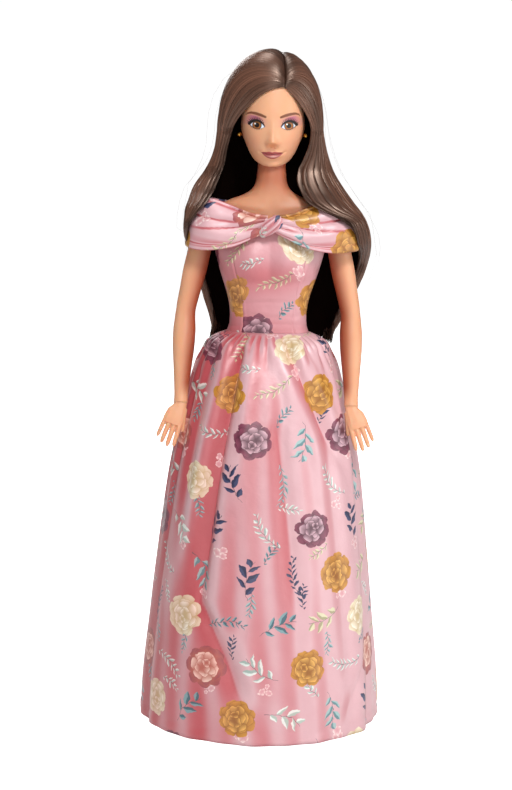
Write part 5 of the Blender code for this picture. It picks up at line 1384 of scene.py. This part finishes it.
def painted_skin():
    """The head's vinyl with its face paint: crisp painted eyes, brows and lips, soft blush and eye shadow, with
    painted shade under the nose and on the ears and a painted highlight on the lower lip.
    """
    material, tree, shader, skin = vinyl_skin("painted_vinyl_face", subsurface_weight=0.25)

    def field(name):
        node = add(tree, "ShaderNodeAttribute", (), "Fac", attribute_name=name)
        return node

    def crisp(socket, edge, blur=EDGE_BLUR):
        """1 where a distance is below the edge, with a thin soft border."""
        return add(
            tree,
            "ShaderNodeMapRange",
            {0: socket, 1: edge - blur, 2: edge + blur, 3: 1.0, 4: 0.0},
            interpolation_type="SMOOTHSTEP",
        )

    colour = skin
    # Blush and eye shadow are face paint; the patch under the nose and the dark ears are painted shade
    for ink, name, share in (
        ("#d97f62", "blush", 0.22),
        ("#d17c45", "nose_warm", 0.50),
        ("#7c2a18", "ear_shade", 0.85),
        ("#b0597f", "eye_shadow", 0.88),
    ):
        colour = over(tree, colour, ink, add(tree, "MULTIPLY", [field(name), share]))
    eye = crisp(field("eye_white"), 0.0)
    white = over(tree, "#dfe5f2", "#8489a0", field("lid_shade"))
    colour = over(tree, colour, white, eye)
    reach = field("iris_reach")
    streak = add(
        tree, "ShaderNodeTexNoise", {"Scale": 3.2, "W": field("iris_turn")}, "Fac", noise_dimensions="1D"
    )
    glow = over(tree, "#8c4a20", "#d08a45", streak)
    depth = add(tree, "ShaderNodeMapRange", {0: reach, 1: 0.8, 2: IRIS_RADIUS, 3: 0.0, 4: 0.55})
    iris = over(tree, glow, "#5b2c14", depth)
    iris = over(tree, iris, "#1c0d08", add(tree, "MULTIPLY", [field("lid_shade"), 0.9]))
    iris = over(tree, "#2a130b", iris, crisp(reach, IRIS_RADIUS - 0.22))
    colour = over(tree, colour, iris, add(tree, "MULTIPLY", [crisp(reach, IRIS_RADIUS), eye]))
    colour = over(tree, colour, "#120a08", add(tree, "MULTIPLY", [crisp(reach, 1.08), eye]))
    colour = over(tree, colour, "#ffffff", add(tree, "MULTIPLY", [crisp(field("glint"), 0.0), eye]))
    for ink, name, share, blur in (
        ("#8d5546", "lid_crease", 0.75, EDGE_BLUR),
        ("#4a2620", "lower_rim", 0.90, EDGE_BLUR),
        ("#1d0f0c", "lash_line", 1.0, EDGE_BLUR),
        ("#6f3c27", "brow", 0.92, 0.16),
    ):
        colour = over(
            tree, colour, hex_colour(ink), add(tree, "MULTIPLY", [crisp(field(name), 0.0, blur), share])
        )
    lips = crisp(field("lips"), 0.0, 0.09)
    colour = over(tree, colour, "#a4504e", lips)
    # Painted highlight on the lower lip
    colour = over(tree, colour, "#f0c4ba", add(tree, "MULTIPLY", [field("lip_light"), 0.75]))
    parting = add(tree, "MULTIPLY", [crisp(field("lip_parting"), 0.11, 0.10), 0.85])
    colour = over(tree, colour, "#5e2427", parting)
    tree.links.new(colour, shader.inputs["Base Color"])
    gloss = add(tree, "MULTIPLY_ADD", [lips, -0.20, 0.44])
    wet = add(tree, "MULTIPLY_ADD", [eye, -0.04, gloss])
    tree.links.new(wet, shader.inputs["Roughness"])
    return material


def crowded(count, low, high, middle, spread, extra):
    """Places from low to high, closer together around the middle."""
    fine = np.linspace(low, high, 4000)
    total = np.cumsum(1 + extra * bell(fine - middle, spread))
    total = (total - total[0]) / (total[-1] - total[0])
    return np.interp(np.linspace(0, 1, count), total, fine)


def make_head():
    """The head with its modelled and painted face."""
    turn = crowded(301, -math.pi, math.pi, 0.0, 0.75, 4.0)[:-1]
    tilt = crowded(292, 0.012, math.pi - 0.012, 1.95, 0.50, 2.6)
    t, p = turn[None, :], tilt[:, None]
    direction = stack(np.sin(p) * np.sin(t), -np.sin(p) * np.cos(t), np.cos(p) + 0 * t)
    points = head_surface(direction, face_lift)
    head = loft("painted_head", points, painted_skin(), fields=face_fields(points))
    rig.ride(head, "head")
    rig.replaces(head, "head")
    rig.slot(head, "skin_vinyl")


def make_chest():
    """The shoulders, collarbones and neck above the gown, as a close skin over the torso."""
    z = np.linspace(0.2575, 0.2060, 120)[:, None]
    turn = np.linspace(-math.pi, math.pi, 160, endpoint=False)[None, :]
    proud = 0.00015 + 0.00030 * ramp(z, 0.2260, 0.2320) * (1 - ramp(z, 0.2440, 0.2480))
    points = torso_at(turn + 0 * z, z + 0 * turn, proud)
    x, y = points[..., 0], points[..., 1]
    front = np.clip(-y / 0.004, 0, 1)
    bone = bell(z - 0.2305 - 0.10 * (abs(x) - 0.009), 0.0011) * ramp(abs(x), 0.0016, 0.0045)
    bone = bone * (1 - ramp(abs(x), 0.0150, 0.0200))
    hollow = bell(z - 0.2335 - 0.06 * (abs(x) - 0.009), 0.0013) * ramp(abs(x), 0.002, 0.006)
    notch = bell(x, 0.0011) * bell(z - 0.2325, 0.0018)
    sinew = bell(abs(x) - 0.0034 - 0.25 * (0.2450 - z), 0.0007) * ramp(z, 0.2335, 0.2370) * (
        1 - ramp(z, 0.2480, 0.2540)
    )
    points[..., 1] -= front * (0.00030 * bone - 0.00015 * hollow - 0.00015 * notch + 0.00012 * sinew)
    ring = bell(z - 0.2478, 0.00018) + bell(z - 0.2512, 0.00016)
    points[..., :2] *= (1 - 0.010 * ring)[..., None]
    # Painted shade: the skin darkens up the neck towards the chin, and a little on the doll's left
    shade = 0.27 + 0.42 * ramp(z, 0.2330, 0.2440) + 0.22 * ramp(z, 0.2440, 0.2530) + 0.10 * ramp(x, 0.0, 0.006)
    chest = loft("chest_skin", points, SKIN, {"shade": shade + 0 * turn})
    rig.ride(chest, "torso")
    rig.slot(chest, "skin_vinyl")


def arm_path(along):
    """The arm's middle line, in metres from the shoulder, rounded at the elbow, and its radius."""
    upper, fore = (ELBOW - SHOULDER), (WRIST - ELBOW)
    long, reach = np.linalg.norm(upper), np.linalg.norm(fore)
    u, f = upper / long, fore / reach
    bend = 0.0045
    s = along[:, None]
    straight = np.where(s < long, SHOULDER + s * u, ELBOW + (s - long) * f)
    t = np.clip((s - long + bend) / (2 * bend), 0, 1)
    start, stop = ELBOW - bend * u, ELBOW + bend * f
    curve = (1 - t) ** 2 * start + 2 * t * (1 - t) * ELBOW + t**2 * stop
    line = np.where(abs(s - long) < bend, curve, straight)
    above = eased(UPPER_ARM_SHARES, along / long)[0] * UPPER_ARM_RADIUS
    below = eased(FOREARM_SHARES, (along - long) / reach)[0] * FOREARM_RADIUS
    mix = ramp(along, long - 0.003, long + 0.003)
    return line, above + (below - above) * mix


def make_arm(side, label):
    """One arm's soft skin from the shoulder to the wrist, creased at the elbow and bending with it."""
    long = float(np.linalg.norm(ELBOW - SHOULDER))
    reach = float(np.linalg.norm(WRIST - ELBOW))
    cap = np.linspace(-0.118 * long, -0.03 * long, 16)[:-1]
    along = np.concatenate([cap, np.linspace(-0.03 * long, long + reach + 0.0010, 210)])
    line, radius = arm_path(along)
    tangent = np.gradient(line, axis=0)
    tangent /= np.linalg.norm(tangent, axis=1, keepdims=True)
    out = np.cross(tangent, (0.0, 1.0, 0.0))
    out /= np.linalg.norm(out, axis=1, keepdims=True)
    front = np.cross(out, tangent)
    turn = np.linspace(0, 2 * math.pi, 96, endpoint=False)
    s, c = np.sin(turn)[None, :, None], np.cos(turn)[None, :, None]
    wrist = ramp(along, long + 0.55 * reach, long + reach)
    wide = radius * (1 + 0.05 * wrist)
    deep = radius * (1 - 0.06 * wrist)
    crease = np.zeros((len(along), 96))
    for place, depth, bow in ((long - 0.0006, 0.10, 0.0012), (long + 0.0016, 0.07, -0.0009)):
        gap = along[:, None] - place - bow * np.sin(turn)[None, :] ** 2
        crease += depth * bell(gap, 0.00030) * np.clip(np.cos(turn)[None, :] * 1.6, 0, 1)
    rings = bell(along - (long + reach - 0.0022), 0.00022) * 0.004
    size = (1 - 0.5 * crease - rings[:, None])[..., None]
    elbow_tip = bell(along - long, 0.003)[:, None] * np.clip(-np.cos(turn)[None, :], 0, 1) ** 2 * 0.00035
    points = line[:, None, :] + size * (
        out[:, None, :] * wide[:, None, None] * s + front[:, None, :] * deep[:, None, None] * c
    )
    points -= front[:, None, :] * elbow_tip[..., None]
    points[..., 0] = np.where(
        along[:, None] < 0.3 * long, np.maximum(points[..., 0], ARMHOLE_OUT + 0.0004), points[..., 0]
    )
    # Painted shade: the skin darkens and reddens on the arm's inner side, easing off at the wrist
    shade = 0.95 * ramp((line[:, None, 0] - points[..., 0]) / radius[:, None], -0.55, 0.95)
    points[..., 0] *= side
    if side > 0:
        points, shade = points[:, ::-1], shade[:, ::-1]
    arm = loft(
        f"arm_skin_{label}",
        points,
        SKIN,
        {"shade": shade * (1 - ramp(along, long + 0.8 * reach, long + reach))[:, None]},
    )
    near, far = ELBOW + (0.0, 0.0, 0.0048), ELBOW + 0.0048 * (WRIST - ELBOW) / reach
    flip = np.array([side, 1, 1])
    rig.blend(arm, "upper_arm_" + label, "forearm_" + label, start=near * flip, end=far * flip)
    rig.replaces(arm, f"upper_arm_{label}", f"forearm_{label}", f"elbow_{label}_pin")
    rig.slot(arm, "skin_vinyl")


def make_hand(label):
    """One hand, its fingers grown together and softened as moulded vinyl is."""
    mesh = frame["nodes"]["hand_" + label].data.copy()
    hand = object_of(f"hand_skin_{label}", mesh)
    mesh.materials.clear()
    mesh.materials.append(SKIN)
    weld = hand.modifiers.new("weld", "WELD")
    weld.merge_threshold = 1e-6
    remesh = hand.modifiers.new("remesh", "REMESH")
    remesh.mode = "VOXEL"
    remesh.voxel_size = 0.00022
    soften = hand.modifiers.new("soften", "SMOOTH")
    soften.factor = 0.5
    soften.iterations = 7
    settle(hand)
    hand.data.shade_smooth()
    for slot_number in range(len(hand.data.materials)):
        hand.data.materials[slot_number] = SKIN
    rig.ride(hand, "hand_" + label)
    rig.replaces(hand, "hand_" + label)
    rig.slot(hand, "skin_vinyl")


# Hair: how far down a strand it leaves the crown, and the part's line from the forehead to the crown
CROWN_SHARE = 0.27
PART_LINE = np.array(
    ((0.0054, -0.0143, 0.2854), (0.0050, -0.0112, 0.2908), (0.0042, -0.0062, 0.2950), (0.0030, 0.0010, 0.2975))
)
# Half widths left and right, depths in front and behind, and rise of the hair over the skull
HAIR_OVER_SKULL = (0.0226, 0.0252, 0.0172, 0.0216, 0.0322)


def fall_at(angle, share, inside):
    """Points on the falling hair, outside at 0 and on its inner face at 1; angle -1 and 1 are its front edges."""
    right, left, back, edge = eased(FALL_SHARES, share)
    inner_right, front_right, inner_left, front_left = eased(HAIR_EDGES, share) / 1000
    power = 2.15 + 0.85 * np.clip(share / 0.3, 0, 1)
    s, c = rounded(angle * math.pi / 2, power)
    wide = np.where(s > 0, left, right) * HAIR_HALF_WIDTH
    side_thick = wide - np.where(s > 0, inner_left, inner_right)
    deep, front = back * HAIR_HALF_WIDTH, edge * HAIR_HALF_WIDTH
    back_thick = np.minimum(0.0042, 0.5 * (side_thick + 0.0042))
    out = -(back_thick + (side_thick - back_thick) * abs(s) ** 4) * inside
    forward = (np.where(s > 0, front_left, front_right) - front) * np.clip(1 - (1 - abs(angle)) / 0.35, 0, 1) ** 1.2
    z = HAIR_BASE_Z - 0.0003 - share * HAIR_LENGTH
    return stack(s * (wide + out), front + c * (deep - front + out) + forward, z)


def over_skull(points, depth, hold):
    """Draws points onto the hair's rounded shape over the skull: its outer shape at depth 0, the skull at 1."""
    centre = np.array((0.0, 0.0, HEAD_CENTRE_Z - 0.0005))
    away = points - centre
    x, y = away[..., 0], away[..., 1]
    left, right, ahead, behind, _ = HAIR_OVER_SKULL
    wide = 0.5 * (left + right) + 0.5 * (left - right) * np.tanh(x / 0.008)
    deep = 0.5 * (behind + ahead) + 0.5 * (behind - ahead) * np.tanh(y / 0.008)
    wide = wide + (HEAD_HALF_WIDTH + 0.0010 - wide) * depth
    deep = deep + (np.where(y < 0, HEAD_FRONT, HEAD_BACK) + 0.0010 - deep) * depth
    rise = HAIR_OVER_SKULL[4] + (CROWN_RISE + 0.0012 - HAIR_OVER_SKULL[4]) * depth
    size = np.sqrt((x / wide) ** 2 + (y / deep) ** 2 + (away[..., 2] / rise) ** 2)
    drawn = centre + away / np.maximum(size, 1e-3)[..., None]
    return points + (drawn - points) * hold[..., None]


def strand_at(u, v, w, side):
    """Where a strand lies: u from the front edge 0 to the centre back 1, v from root to tip, w from outside in."""
    angle = side * (1 - u)
    t = np.clip(u / 0.62, 0, 1)
    knots = np.linspace(0, 1, len(PART_LINE))
    root = np.stack([np.interp(t, knots, PART_LINE[:, i]) for i in range(3)], -1)
    behind = np.clip((u - 0.62) / 0.38, 0, 1)
    root = root + stack(-0.0028 * behind, 0.0012 * behind, -0.0002 * behind)
    root[..., 2] -= 0.0006 * w
    foot = fall_at(angle, 0 * u, w)
    run = foot - root
    front = (1 - u) ** 3
    low = 1.0 if side < 0 else 0.35
    lift = 0.0042 * (1 - w) + 0.0012 * w
    over_top = root + run * np.array((0.60, 0.60, 0)) * (1 - 0.35 * w * front)[..., None] + stack(0, 0, lift)
    over_top = over_top + stack(0, -0.0042 * front * (0.4 + w), -0.0030 * low * front * w)
    temple = foot - run * np.array((0.0, 0.08, 0)) + stack(0 * u, 0 * u, 0.62 * (root[..., 2] - foot[..., 2]))
    temple = temple + stack(side * 0.0004, -0.0090 * front * (0.25 + 0.75 * w), -0.0035 * low * front * w)
    p = np.clip(v / CROWN_SHARE, 0, 1)[..., None]
    crown = (1 - p) ** 3 * root + 3 * (1 - p) ** 2 * p * over_top + 3 * (1 - p) * p * p * temple + p**3 * foot
    p = p[..., 0]
    depth = w + (1 - w) * np.exp(-p / 0.07) * 0.75
    crown = over_skull(crown, depth, 1 - p**3)
    share = np.clip((v - CROWN_SHARE) / (1 - CROWN_SHARE), 0, 1)
    fall = fall_at(angle, share, w)
    curl = ramp(share, 0.78, 1.0)
    fall[..., 0] -= side * 0.0034 * curl * (1 - w)
    fall[..., 1] -= np.sign(fall[..., 1] - 0.012) * 0.0012 * curl * (1 - w)
    return np.where((v < CROWN_SHARE)[..., None], crown, fall)


LOCKS = 30
HAIR_CORNER = 0.26  # how much of the way round the hair is its rounded front, beside the face
CORNER_SHARE = 0.14  # and how far back along the strands' roots that reaches


def combed_at(s, v, side):
    """The combed outside of the hair in its locks, a place inside it, its tone with painted shade, and how far its
    locks reach.

    s runs from the edge beside the face at 0, over the rounded front, to the centre back at 1.
    """
    turn = np.clip(s / HAIR_CORNER, 0, 1) * math.pi / 2
    behind = np.clip((s - HAIR_CORNER) / (1 - HAIR_CORNER), 0, 1)
    u = CORNER_SHARE * (1 - np.cos(turn)) + (1 - CORNER_SHARE) * behind
    w = 1 - np.sin(turn)
    rng = np.random.default_rng(31 if side > 0 else 47)
    edges = np.cumsum(rng.uniform(0.5, 1.6, LOCKS))
    edges = np.concatenate([[0.0], edges / edges[-1]]) * 1.04 - 0.02
    middles, tone, level, long = (edges[1:] + edges[:-1]) / 2, *rng.uniform(0, 1, (3, LOCKS))
    place = s + 0.010 * v * np.sin(12 * v + 8 * s + side)
    lock = np.clip(np.searchsorted(edges, place) - 1, 0, LOCKS - 1)
    across = abs(place - middles[lock]) / (0.5 * (edges[lock + 1] - edges[lock]))
    groove = np.clip(across, 0, 1) ** 3
    opened = 0.16 + 0.84 * ramp(v, 0.06, 0.40)
    ripple = np.cos(2 * math.pi * 97 * place + 5 * np.sin(40 * place)) + 0.6 * np.cos(2 * math.pi * 211 * place)
    depth = (0.0006 + 0.0014 * v * v) * groove * opened + 0.0011 * np.interp(place, middles, level) * opened
    depth = depth + 0.00005 * (1 + ripple) * ramp(v, 0.0, 0.1)
    points = strand_at(u, v, w, side)
    inside = strand_at(np.clip(u + 0.14 * w, 0, 1), v, np.clip(w + 0.55, 0, 1), side)
    inward = inside - points
    inward /= np.maximum(np.linalg.norm(inward, axis=-1, keepdims=True), 1e-6)
    # Painted shade: the tone darkens in the grooves between locks and on the inner face deep in the hair; it is also
    # darker towards the roots
    hidden = ramp(w, 0.45, 1.0) * ramp(v, 0.22, 0.34)
    tint = (0.42 + 0.58 * np.interp(place, middles, tone)) * (1 - 0.80 * groove * (0.4 + 0.6 * opened)) * (
        1 - 0.75 * hidden
    )
    tint = tint * (0.35 + 0.65 * ramp(v, 0.0, 0.06))
    reach = 0.995 - 0.06 * np.clip(across, 0, 1) ** 2 - 0.06 * np.interp(place, middles, long)
    return points + depth[..., None] * inward, inside, tint, reach


def hair_guides(side):
    """Two sheets of guide points that the strands follow, outside and inside, with s and v as their UV places."""
    s = np.linspace(0, 1, 300)[None, :]
    v = np.linspace(0, 1, 120)[:, None]
    outer, inner, tint, _ = combed_at(s + 0 * v, v + 0 * s, side)
    made = []
    for name, points in (("outer", outer), ("inner", inner)):
        mesh = mesh_of(name, points, grid_faces(120, 300), stack(s + 0 * v, v + 0 * s), {"tint": tint})
        made.append(object_of(name, mesh))
    return made


def strands_tree(name, settings):
    """Strands of hair that lie along the guide sheets: scattered, waved and given thickness."""
    numbers = ("Count", "Seed", "Low", "High", "Deep", "Thick", "Wave", "Fly")
    sockets = [("Geometry", "NodeSocketGeometry"), ("Outer", "NodeSocketObject"), ("Inner", "NodeSocketObject")]
    for key in numbers:
        sockets.append((key, "NodeSocketInt" if key in ("Count", "Seed") else "NodeSocketFloat"))
    tree, at, out = group_of(name, sockets, [("Geometry", "NodeSocketGeometry")], "GeometryNodeTree")

    def chance(low, high, offset):
        seed = add(tree, "ADD", [at["Seed"], float(offset)])
        return add(tree, "FunctionNodeRandomValue", {2: low, 3: high, 8: seed}, 1, data_type="FLOAT")

    here = add(tree, "GeometryNodePoints", {"Count": at["Count"]})
    for key, value in (
        ("root_u", chance(at["Low"], at["High"], 1)),
        ("root_w", add(tree, "POWER", [chance(0.0, 1.0, 2), at["Deep"]])),
        ("tint", chance(0.0, 1.0, 3)),
        ("length", chance(0.88, 1.0, 4)),
        ("own", chance(-1.0, 1.0, 5)),
    ):
        here = add(
            tree, "GeometryNodeStoreNamedAttribute", {"Geometry": here, "Name": key, "Value": value}, data_type="FLOAT"
        )
    line = add(tree, "GeometryNodeCurvePrimitiveLine")
    fine = add(tree, "GeometryNodeResampleCurve", {"Count": settings["steps"], "Curve": line})
    placed = add(tree, "GeometryNodeInstanceOnPoints", {"Points": here, "Instance": fine})
    real = add(tree, "GeometryNodeRealizeInstances", {0: placed})

    def named(key):
        return add(tree, "GeometryNodeInputNamedAttribute", {"Name": key}, data_type="FLOAT")

    factor = add(tree, "GeometryNodeSplineParameter", output="Factor")
    v = add(tree, "MULTIPLY", [factor, named("length")])
    u, w, own = named("root_u"), named("root_w"), named("own")
    swing = add(tree, "SINE", [add(tree, "MULTIPLY_ADD", [v, 11.0, add(tree, "MULTIPLY", [own, 9.0])])])
    swing = add(tree, "MULTIPLY", [swing, add(tree, "MULTIPLY", [at["Wave"], v])])
    final_u = add(tree, "ShaderNodeClamp", {0: add(tree, "ADD", [u, swing]), 1: 0.002, 2: 0.998})
    final_v = add(tree, "ShaderNodeClamp", {0: v, 1: 0.001, 2: 0.999})
    free = add(
        tree,
        "SINE",
        [add(tree, "MULTIPLY", [add(tree, "POWER", [v, add(tree, "MULTIPLY_ADD", [own, 0.5, 0.9])]), math.pi])],
    )
    lift = add(
        tree,
        "MULTIPLY",
        [add(tree, "MULTIPLY", [free, add(tree, "POWER", [add(tree, "ABSOLUTE", [own]), 1.5])]), at["Fly"]],
    )
    place = add(tree, "ShaderNodeCombineXYZ", [final_u, final_v, 0.0])

    def sampled(key, kind, data_type):
        info = add(tree, "GeometryNodeObjectInfo", {"Object": at[key]}, "Geometry")
        sample = add(tree, "GeometryNodeSampleUVSurface", {0: info, 1: kind}, None, data_type=data_type)
        uv = add(tree, "GeometryNodeInputNamedAttribute", {"Name": "cloth"}, data_type="FLOAT_VECTOR")
        tree.links.new(uv, sample.inputs[2])
        tree.links.new(place, sample.inputs[3])
        return sample.outputs[0]

    here = add(tree, "GeometryNodeInputPosition")
    spots = [sampled(key, here, "FLOAT_VECTOR") for key in ("Outer", "Inner")]
    between = add(tree, MIX, {0: w, 4: spots[0], 5: spots[1]}, 1, data_type="VECTOR")
    outward = add(
        tree, VECTOR, [add(tree, VECTOR, [spots[0], spots[1]], operation="SUBTRACT")], operation="NORMALIZE"
    )
    risen = add(
        tree,
        "ShaderNodeMapRange",
        {0: v, 1: 0.10, 2: 0.26, 3: -0.0003, 4: 0.00003},
        interpolation_type="SMOOTHSTEP",
    )
    outward = add(tree, VECTOR, {0: outward, "Scale": add(tree, "ADD", [lift, risen])}, operation="SCALE")
    settled = add(tree, VECTOR, [between, outward], operation="ADD")
    # Painted shade: strands that lie deeper in the hair are darker
    shade = add(tree, "MULTIPLY", [sampled("Outer", named("tint"), "FLOAT"), add(tree, "SUBTRACT", [1.0, w])])
    shade = add(tree, "MULTIPLY", [shade, add(tree, "MULTIPLY_ADD", [named("tint"), 0.5, 0.6])])
    moved = add(tree, "GeometryNodeSetPosition", {"Geometry": real, "Position": settled})
    moved = add(
        tree, "GeometryNodeStoreNamedAttribute", {"Geometry": moved, "Name": "tint", "Value": shade}, data_type="FLOAT"
    )
    tip = add(tree, "SUBTRACT", [1.0, add(tree, "POWER", [factor, 6.0])])
    radius = add(tree, "MULTIPLY", [at["Thick"], add(tree, "MULTIPLY_ADD", [tip, 0.75, 0.25])])
    sized = add(tree, "GeometryNodeSetCurveRadius", {"Curve": moved, "Radius": radius})
    profile = add(tree, "GeometryNodeCurvePrimitiveCircle", {"Resolution": 3, "Radius": 1.0})
    tube = add(tree, "GeometryNodeCurveToMesh", {"Curve": sized, "Profile Curve": profile}, None)
    if "Scale" in tube.inputs:
        tree.links.new(radius, tube.inputs["Scale"])
    tube.inputs["Fill Caps"].default_value = True
    smooth = add(tree, "GeometryNodeSetShadeSmooth", {0: tube.outputs[0]})
    whole = add(tree, "GeometryNodeRealizeInstances", {0: smooth})
    painted = add(tree, "GeometryNodeSetMaterial", {"Geometry": whole, "Material": settings["material"]})
    tree.links.new(painted, out.inputs[0])
    return tree


def hair_piece(name, outer, inner, seed, **sizes):
    """One bundle of strands between the guide sheets, as a plain mesh."""
    values = dict(Count=800, Low=0.0, High=1.0, Deep=5.0, Thick=0.00008, Wave=0.002, Fly=0.00008)
    steps = sizes.pop("steps", 22)
    values.update(sizes)
    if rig.quick():
        values["Count"] = values["Count"] // 3
    tree = strands_tree(name + "_strands", {"steps": steps, "material": HAIR})
    obj = object_of(name, bpy.data.meshes.new(name))
    run_nodes(obj, tree, {**values, "Outer": outer, "Inner": inner, "Seed": seed})
    return obj


HAIR_BEND = dict(start=(0, 0, 0.232), end=(0, 0, 0.262))


def make_hair():
    """The rooted hair: an inner layer painted near-black as the shade deep inside it, and strands over it, parted on
    the doll's left.
    """
    replaced = {
        -1: ("hair_crown", "hair_side_right", "hair_back_right", "hair_back"),
        1: ("hair_side_left", "hair_back_left"),
    }
    for side, label in SIDES:
        u = np.linspace(0.07, 1.004, 70)[None, :]
        ends = 0.980 + 0.016 * np.cos(150 * u) * np.cos(63 * u + 1)
        v = np.linspace(0.0, 1.0, 120)[:, None] * ends
        depth = 0.92 + 0 * u * v
        points = strand_at(np.clip(u, 0, 1) + 0 * v, v + 0 * u, depth, side)
        points[..., 0] += np.where(u > 1, -side * 0.0004, 0)
        if side < 0:
            points = points[:, ::-1]
        # The inner layer's painted shade eases near its front edge, beside the face
        tint = 0.9 * bell(u - 0.07, 0.10) + 0 * v
        under = cloth_sheet(
            f"hair_underlayer_{label}", points, 0 * points[..., :2], HAIR_DEPTH_SHADE, 0.0006, {"tint": tint}
        )
        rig.blend(under, "torso", "head", **HAIR_BEND)
        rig.replaces(under, *replaced[side])
        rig.slot(under, "hair_fibre")
        s = np.linspace(0.0, 1.003, 330)[None, :]
        reach = combed_at(s, 1 + 0 * s, side)[3]
        rows = np.linspace(0.0, 1.0, 120)[:, None] * reach
        points, _, tint, _ = combed_at(np.clip(s, 0, 1) + 0 * rows, rows, side)
        points[..., 0] += np.where(s > 1, -side * 0.0003, 0)
        place = stack(s + 0 * rows, rows)
        if side < 0:
            points, place, tint = points[:, ::-1], place[:, ::-1], tint[:, ::-1]
        combed = cloth_sheet(f"hair_combed_{label}", points, place, HAIR, 0.0003, {"tint": tint})
        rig.blend(combed, "torso", "head", **HAIR_BEND)
        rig.slot(combed, "hair_fibre")
        outer, inner = hair_guides(side)
        seed = 20 if side > 0 else 60
        bundles = (
            ("front", dict(High=0.34, Count=1000)),
            ("side", dict(Low=0.32, High=0.68)),
            ("back", dict(Low=0.66)),
            ("inner", dict(Count=700, Deep=0.8, Thick=0.00016, Wave=0.01)),
            ("loose", dict(Count=14, Deep=3.0, Wave=0.12, Thick=0.00003, Fly=0.0060)),
        )
        for number, (place, sizes) in enumerate(bundles):
            piece = hair_piece(f"hair_{place}_{label}_strands", outer, inner, seed + 7 * number, **sizes)
            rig.blend(piece, "torso", "head", **HAIR_BEND)
            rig.slot(piece, "hair_fibre")
        for guide in (outer, inner):
            bpy.data.objects.remove(guide)


def dress_nodes():
    """Gives every CAD node that still shows its finish."""
    for name, obj in frame["nodes"].items():
        if obj.hide_render:
            continue
        finish = NODE_FINISH.get(name, SKIN)
        for slot_number in range(max(1, len(obj.material_slots))):
            if not obj.material_slots:
                obj.data.materials.append(finish)
            obj.material_slots[slot_number].material = finish


def make_stage():
    """A pale floor, soft lights, and the camera at the photograph's view."""
    n = 60
    reach = 3.0
    line = np.linspace(-reach, reach, n)
    x, y = np.meshgrid(line, line)
    floor_mesh = mesh_of("studio_floor", stack(x, y, -0.0002 + 0 * x), grid_faces(n, n))
    white = plain_finish("pale_floor", "#f8f8f8", "#f4f4f4", 3, roughness=0.9)
    tree = white.node_tree
    seen = add(tree, "MULTIPLY", [add(tree, "ShaderNodeLightPath"), 0.90])
    tree.links.new(seen, tree.nodes["Principled BSDF"].inputs["Emission Strength"])
    floor = object_of("studio_floor", floor_mesh, white)
    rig.stage(floor)
    scene = bpy.context.scene
    world = bpy.data.worlds.new("studio")
    world.use_nodes = True
    background = world.node_tree.nodes["Background"]
    background.inputs["Color"].default_value = (1.0, 1.0, 1.0, 1.0)
    seen = add(world.node_tree, "ShaderNodeLightPath")
    strength = add(world.node_tree, "MULTIPLY_ADD", [seen, 0.88, 0.14])
    world.node_tree.links.new(strength, background.inputs["Strength"])
    scene.world = world
    scene.view_settings.view_transform = "Standard"
    lights = (
        ("key", (0.36, -1.12, 1.40), 0.45, 21.0),
        ("front", (0.10, -1.60, 0.60), 0.9, 4.0),
        ("side", (1.30, -0.55, 0.35), 0.5, 4.5),
        ("top", (-0.20, 0.15, 1.70), 0.6, 8.0),
        ("back", (-0.60, 1.30, 0.90), 0.8, 7.0),
    )
    aim = Vector((0, 0, 0.16))
    for name, place, size, power in lights:
        data = bpy.data.lights.new(name, "AREA")
        data.shape = "DISK"
        data.size = size
        data.energy = power
        light = bpy.data.objects.new(name, data)
        scene.collection.objects.link(light)
        light.location = place
        light.rotation_euler = (aim - Vector(place)).to_track_quat("-Z", "Y").to_euler()
    data = bpy.data.cameras.new("photo_view")
    data.sensor_fit = "VERTICAL"
    data.sensor_height = 24.0
    data.lens = 12.0 / math.tan(math.radians(VIEW_ANGLE_DEG / 2))
    data.clip_start = 0.01
    camera = bpy.data.objects.new("photo_view", data)
    scene.collection.objects.link(camera)
    tilt = math.radians(VIEW_HEIGHT_DEG)
    place = VIEW_TARGET + VIEW_DISTANCE * Vector((0, -math.cos(tilt), math.sin(tilt)))
    turn = Matrix.Rotation(math.pi / 2 - tilt, 4, "X") @ Matrix.Rotation(math.radians(VIEW_ROLL_DEG), 4, "Z")
    camera.matrix_world = Matrix.Translation(place) @ turn
    scene.camera = camera


make_stage()
make_skirt()
make_bodice()
make_band()
make_stitches()
make_head()
make_chest()
for side_number, side_label in SIDES:
    make_arm(side_number, side_label)
    make_hand(side_label)
make_hair()
dress_nodes()

with open("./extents.json", "w") as out_file:
    json.dump({"cad": CAD_BOX, "visual": [list(corner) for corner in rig.bounds()]}, out_file)
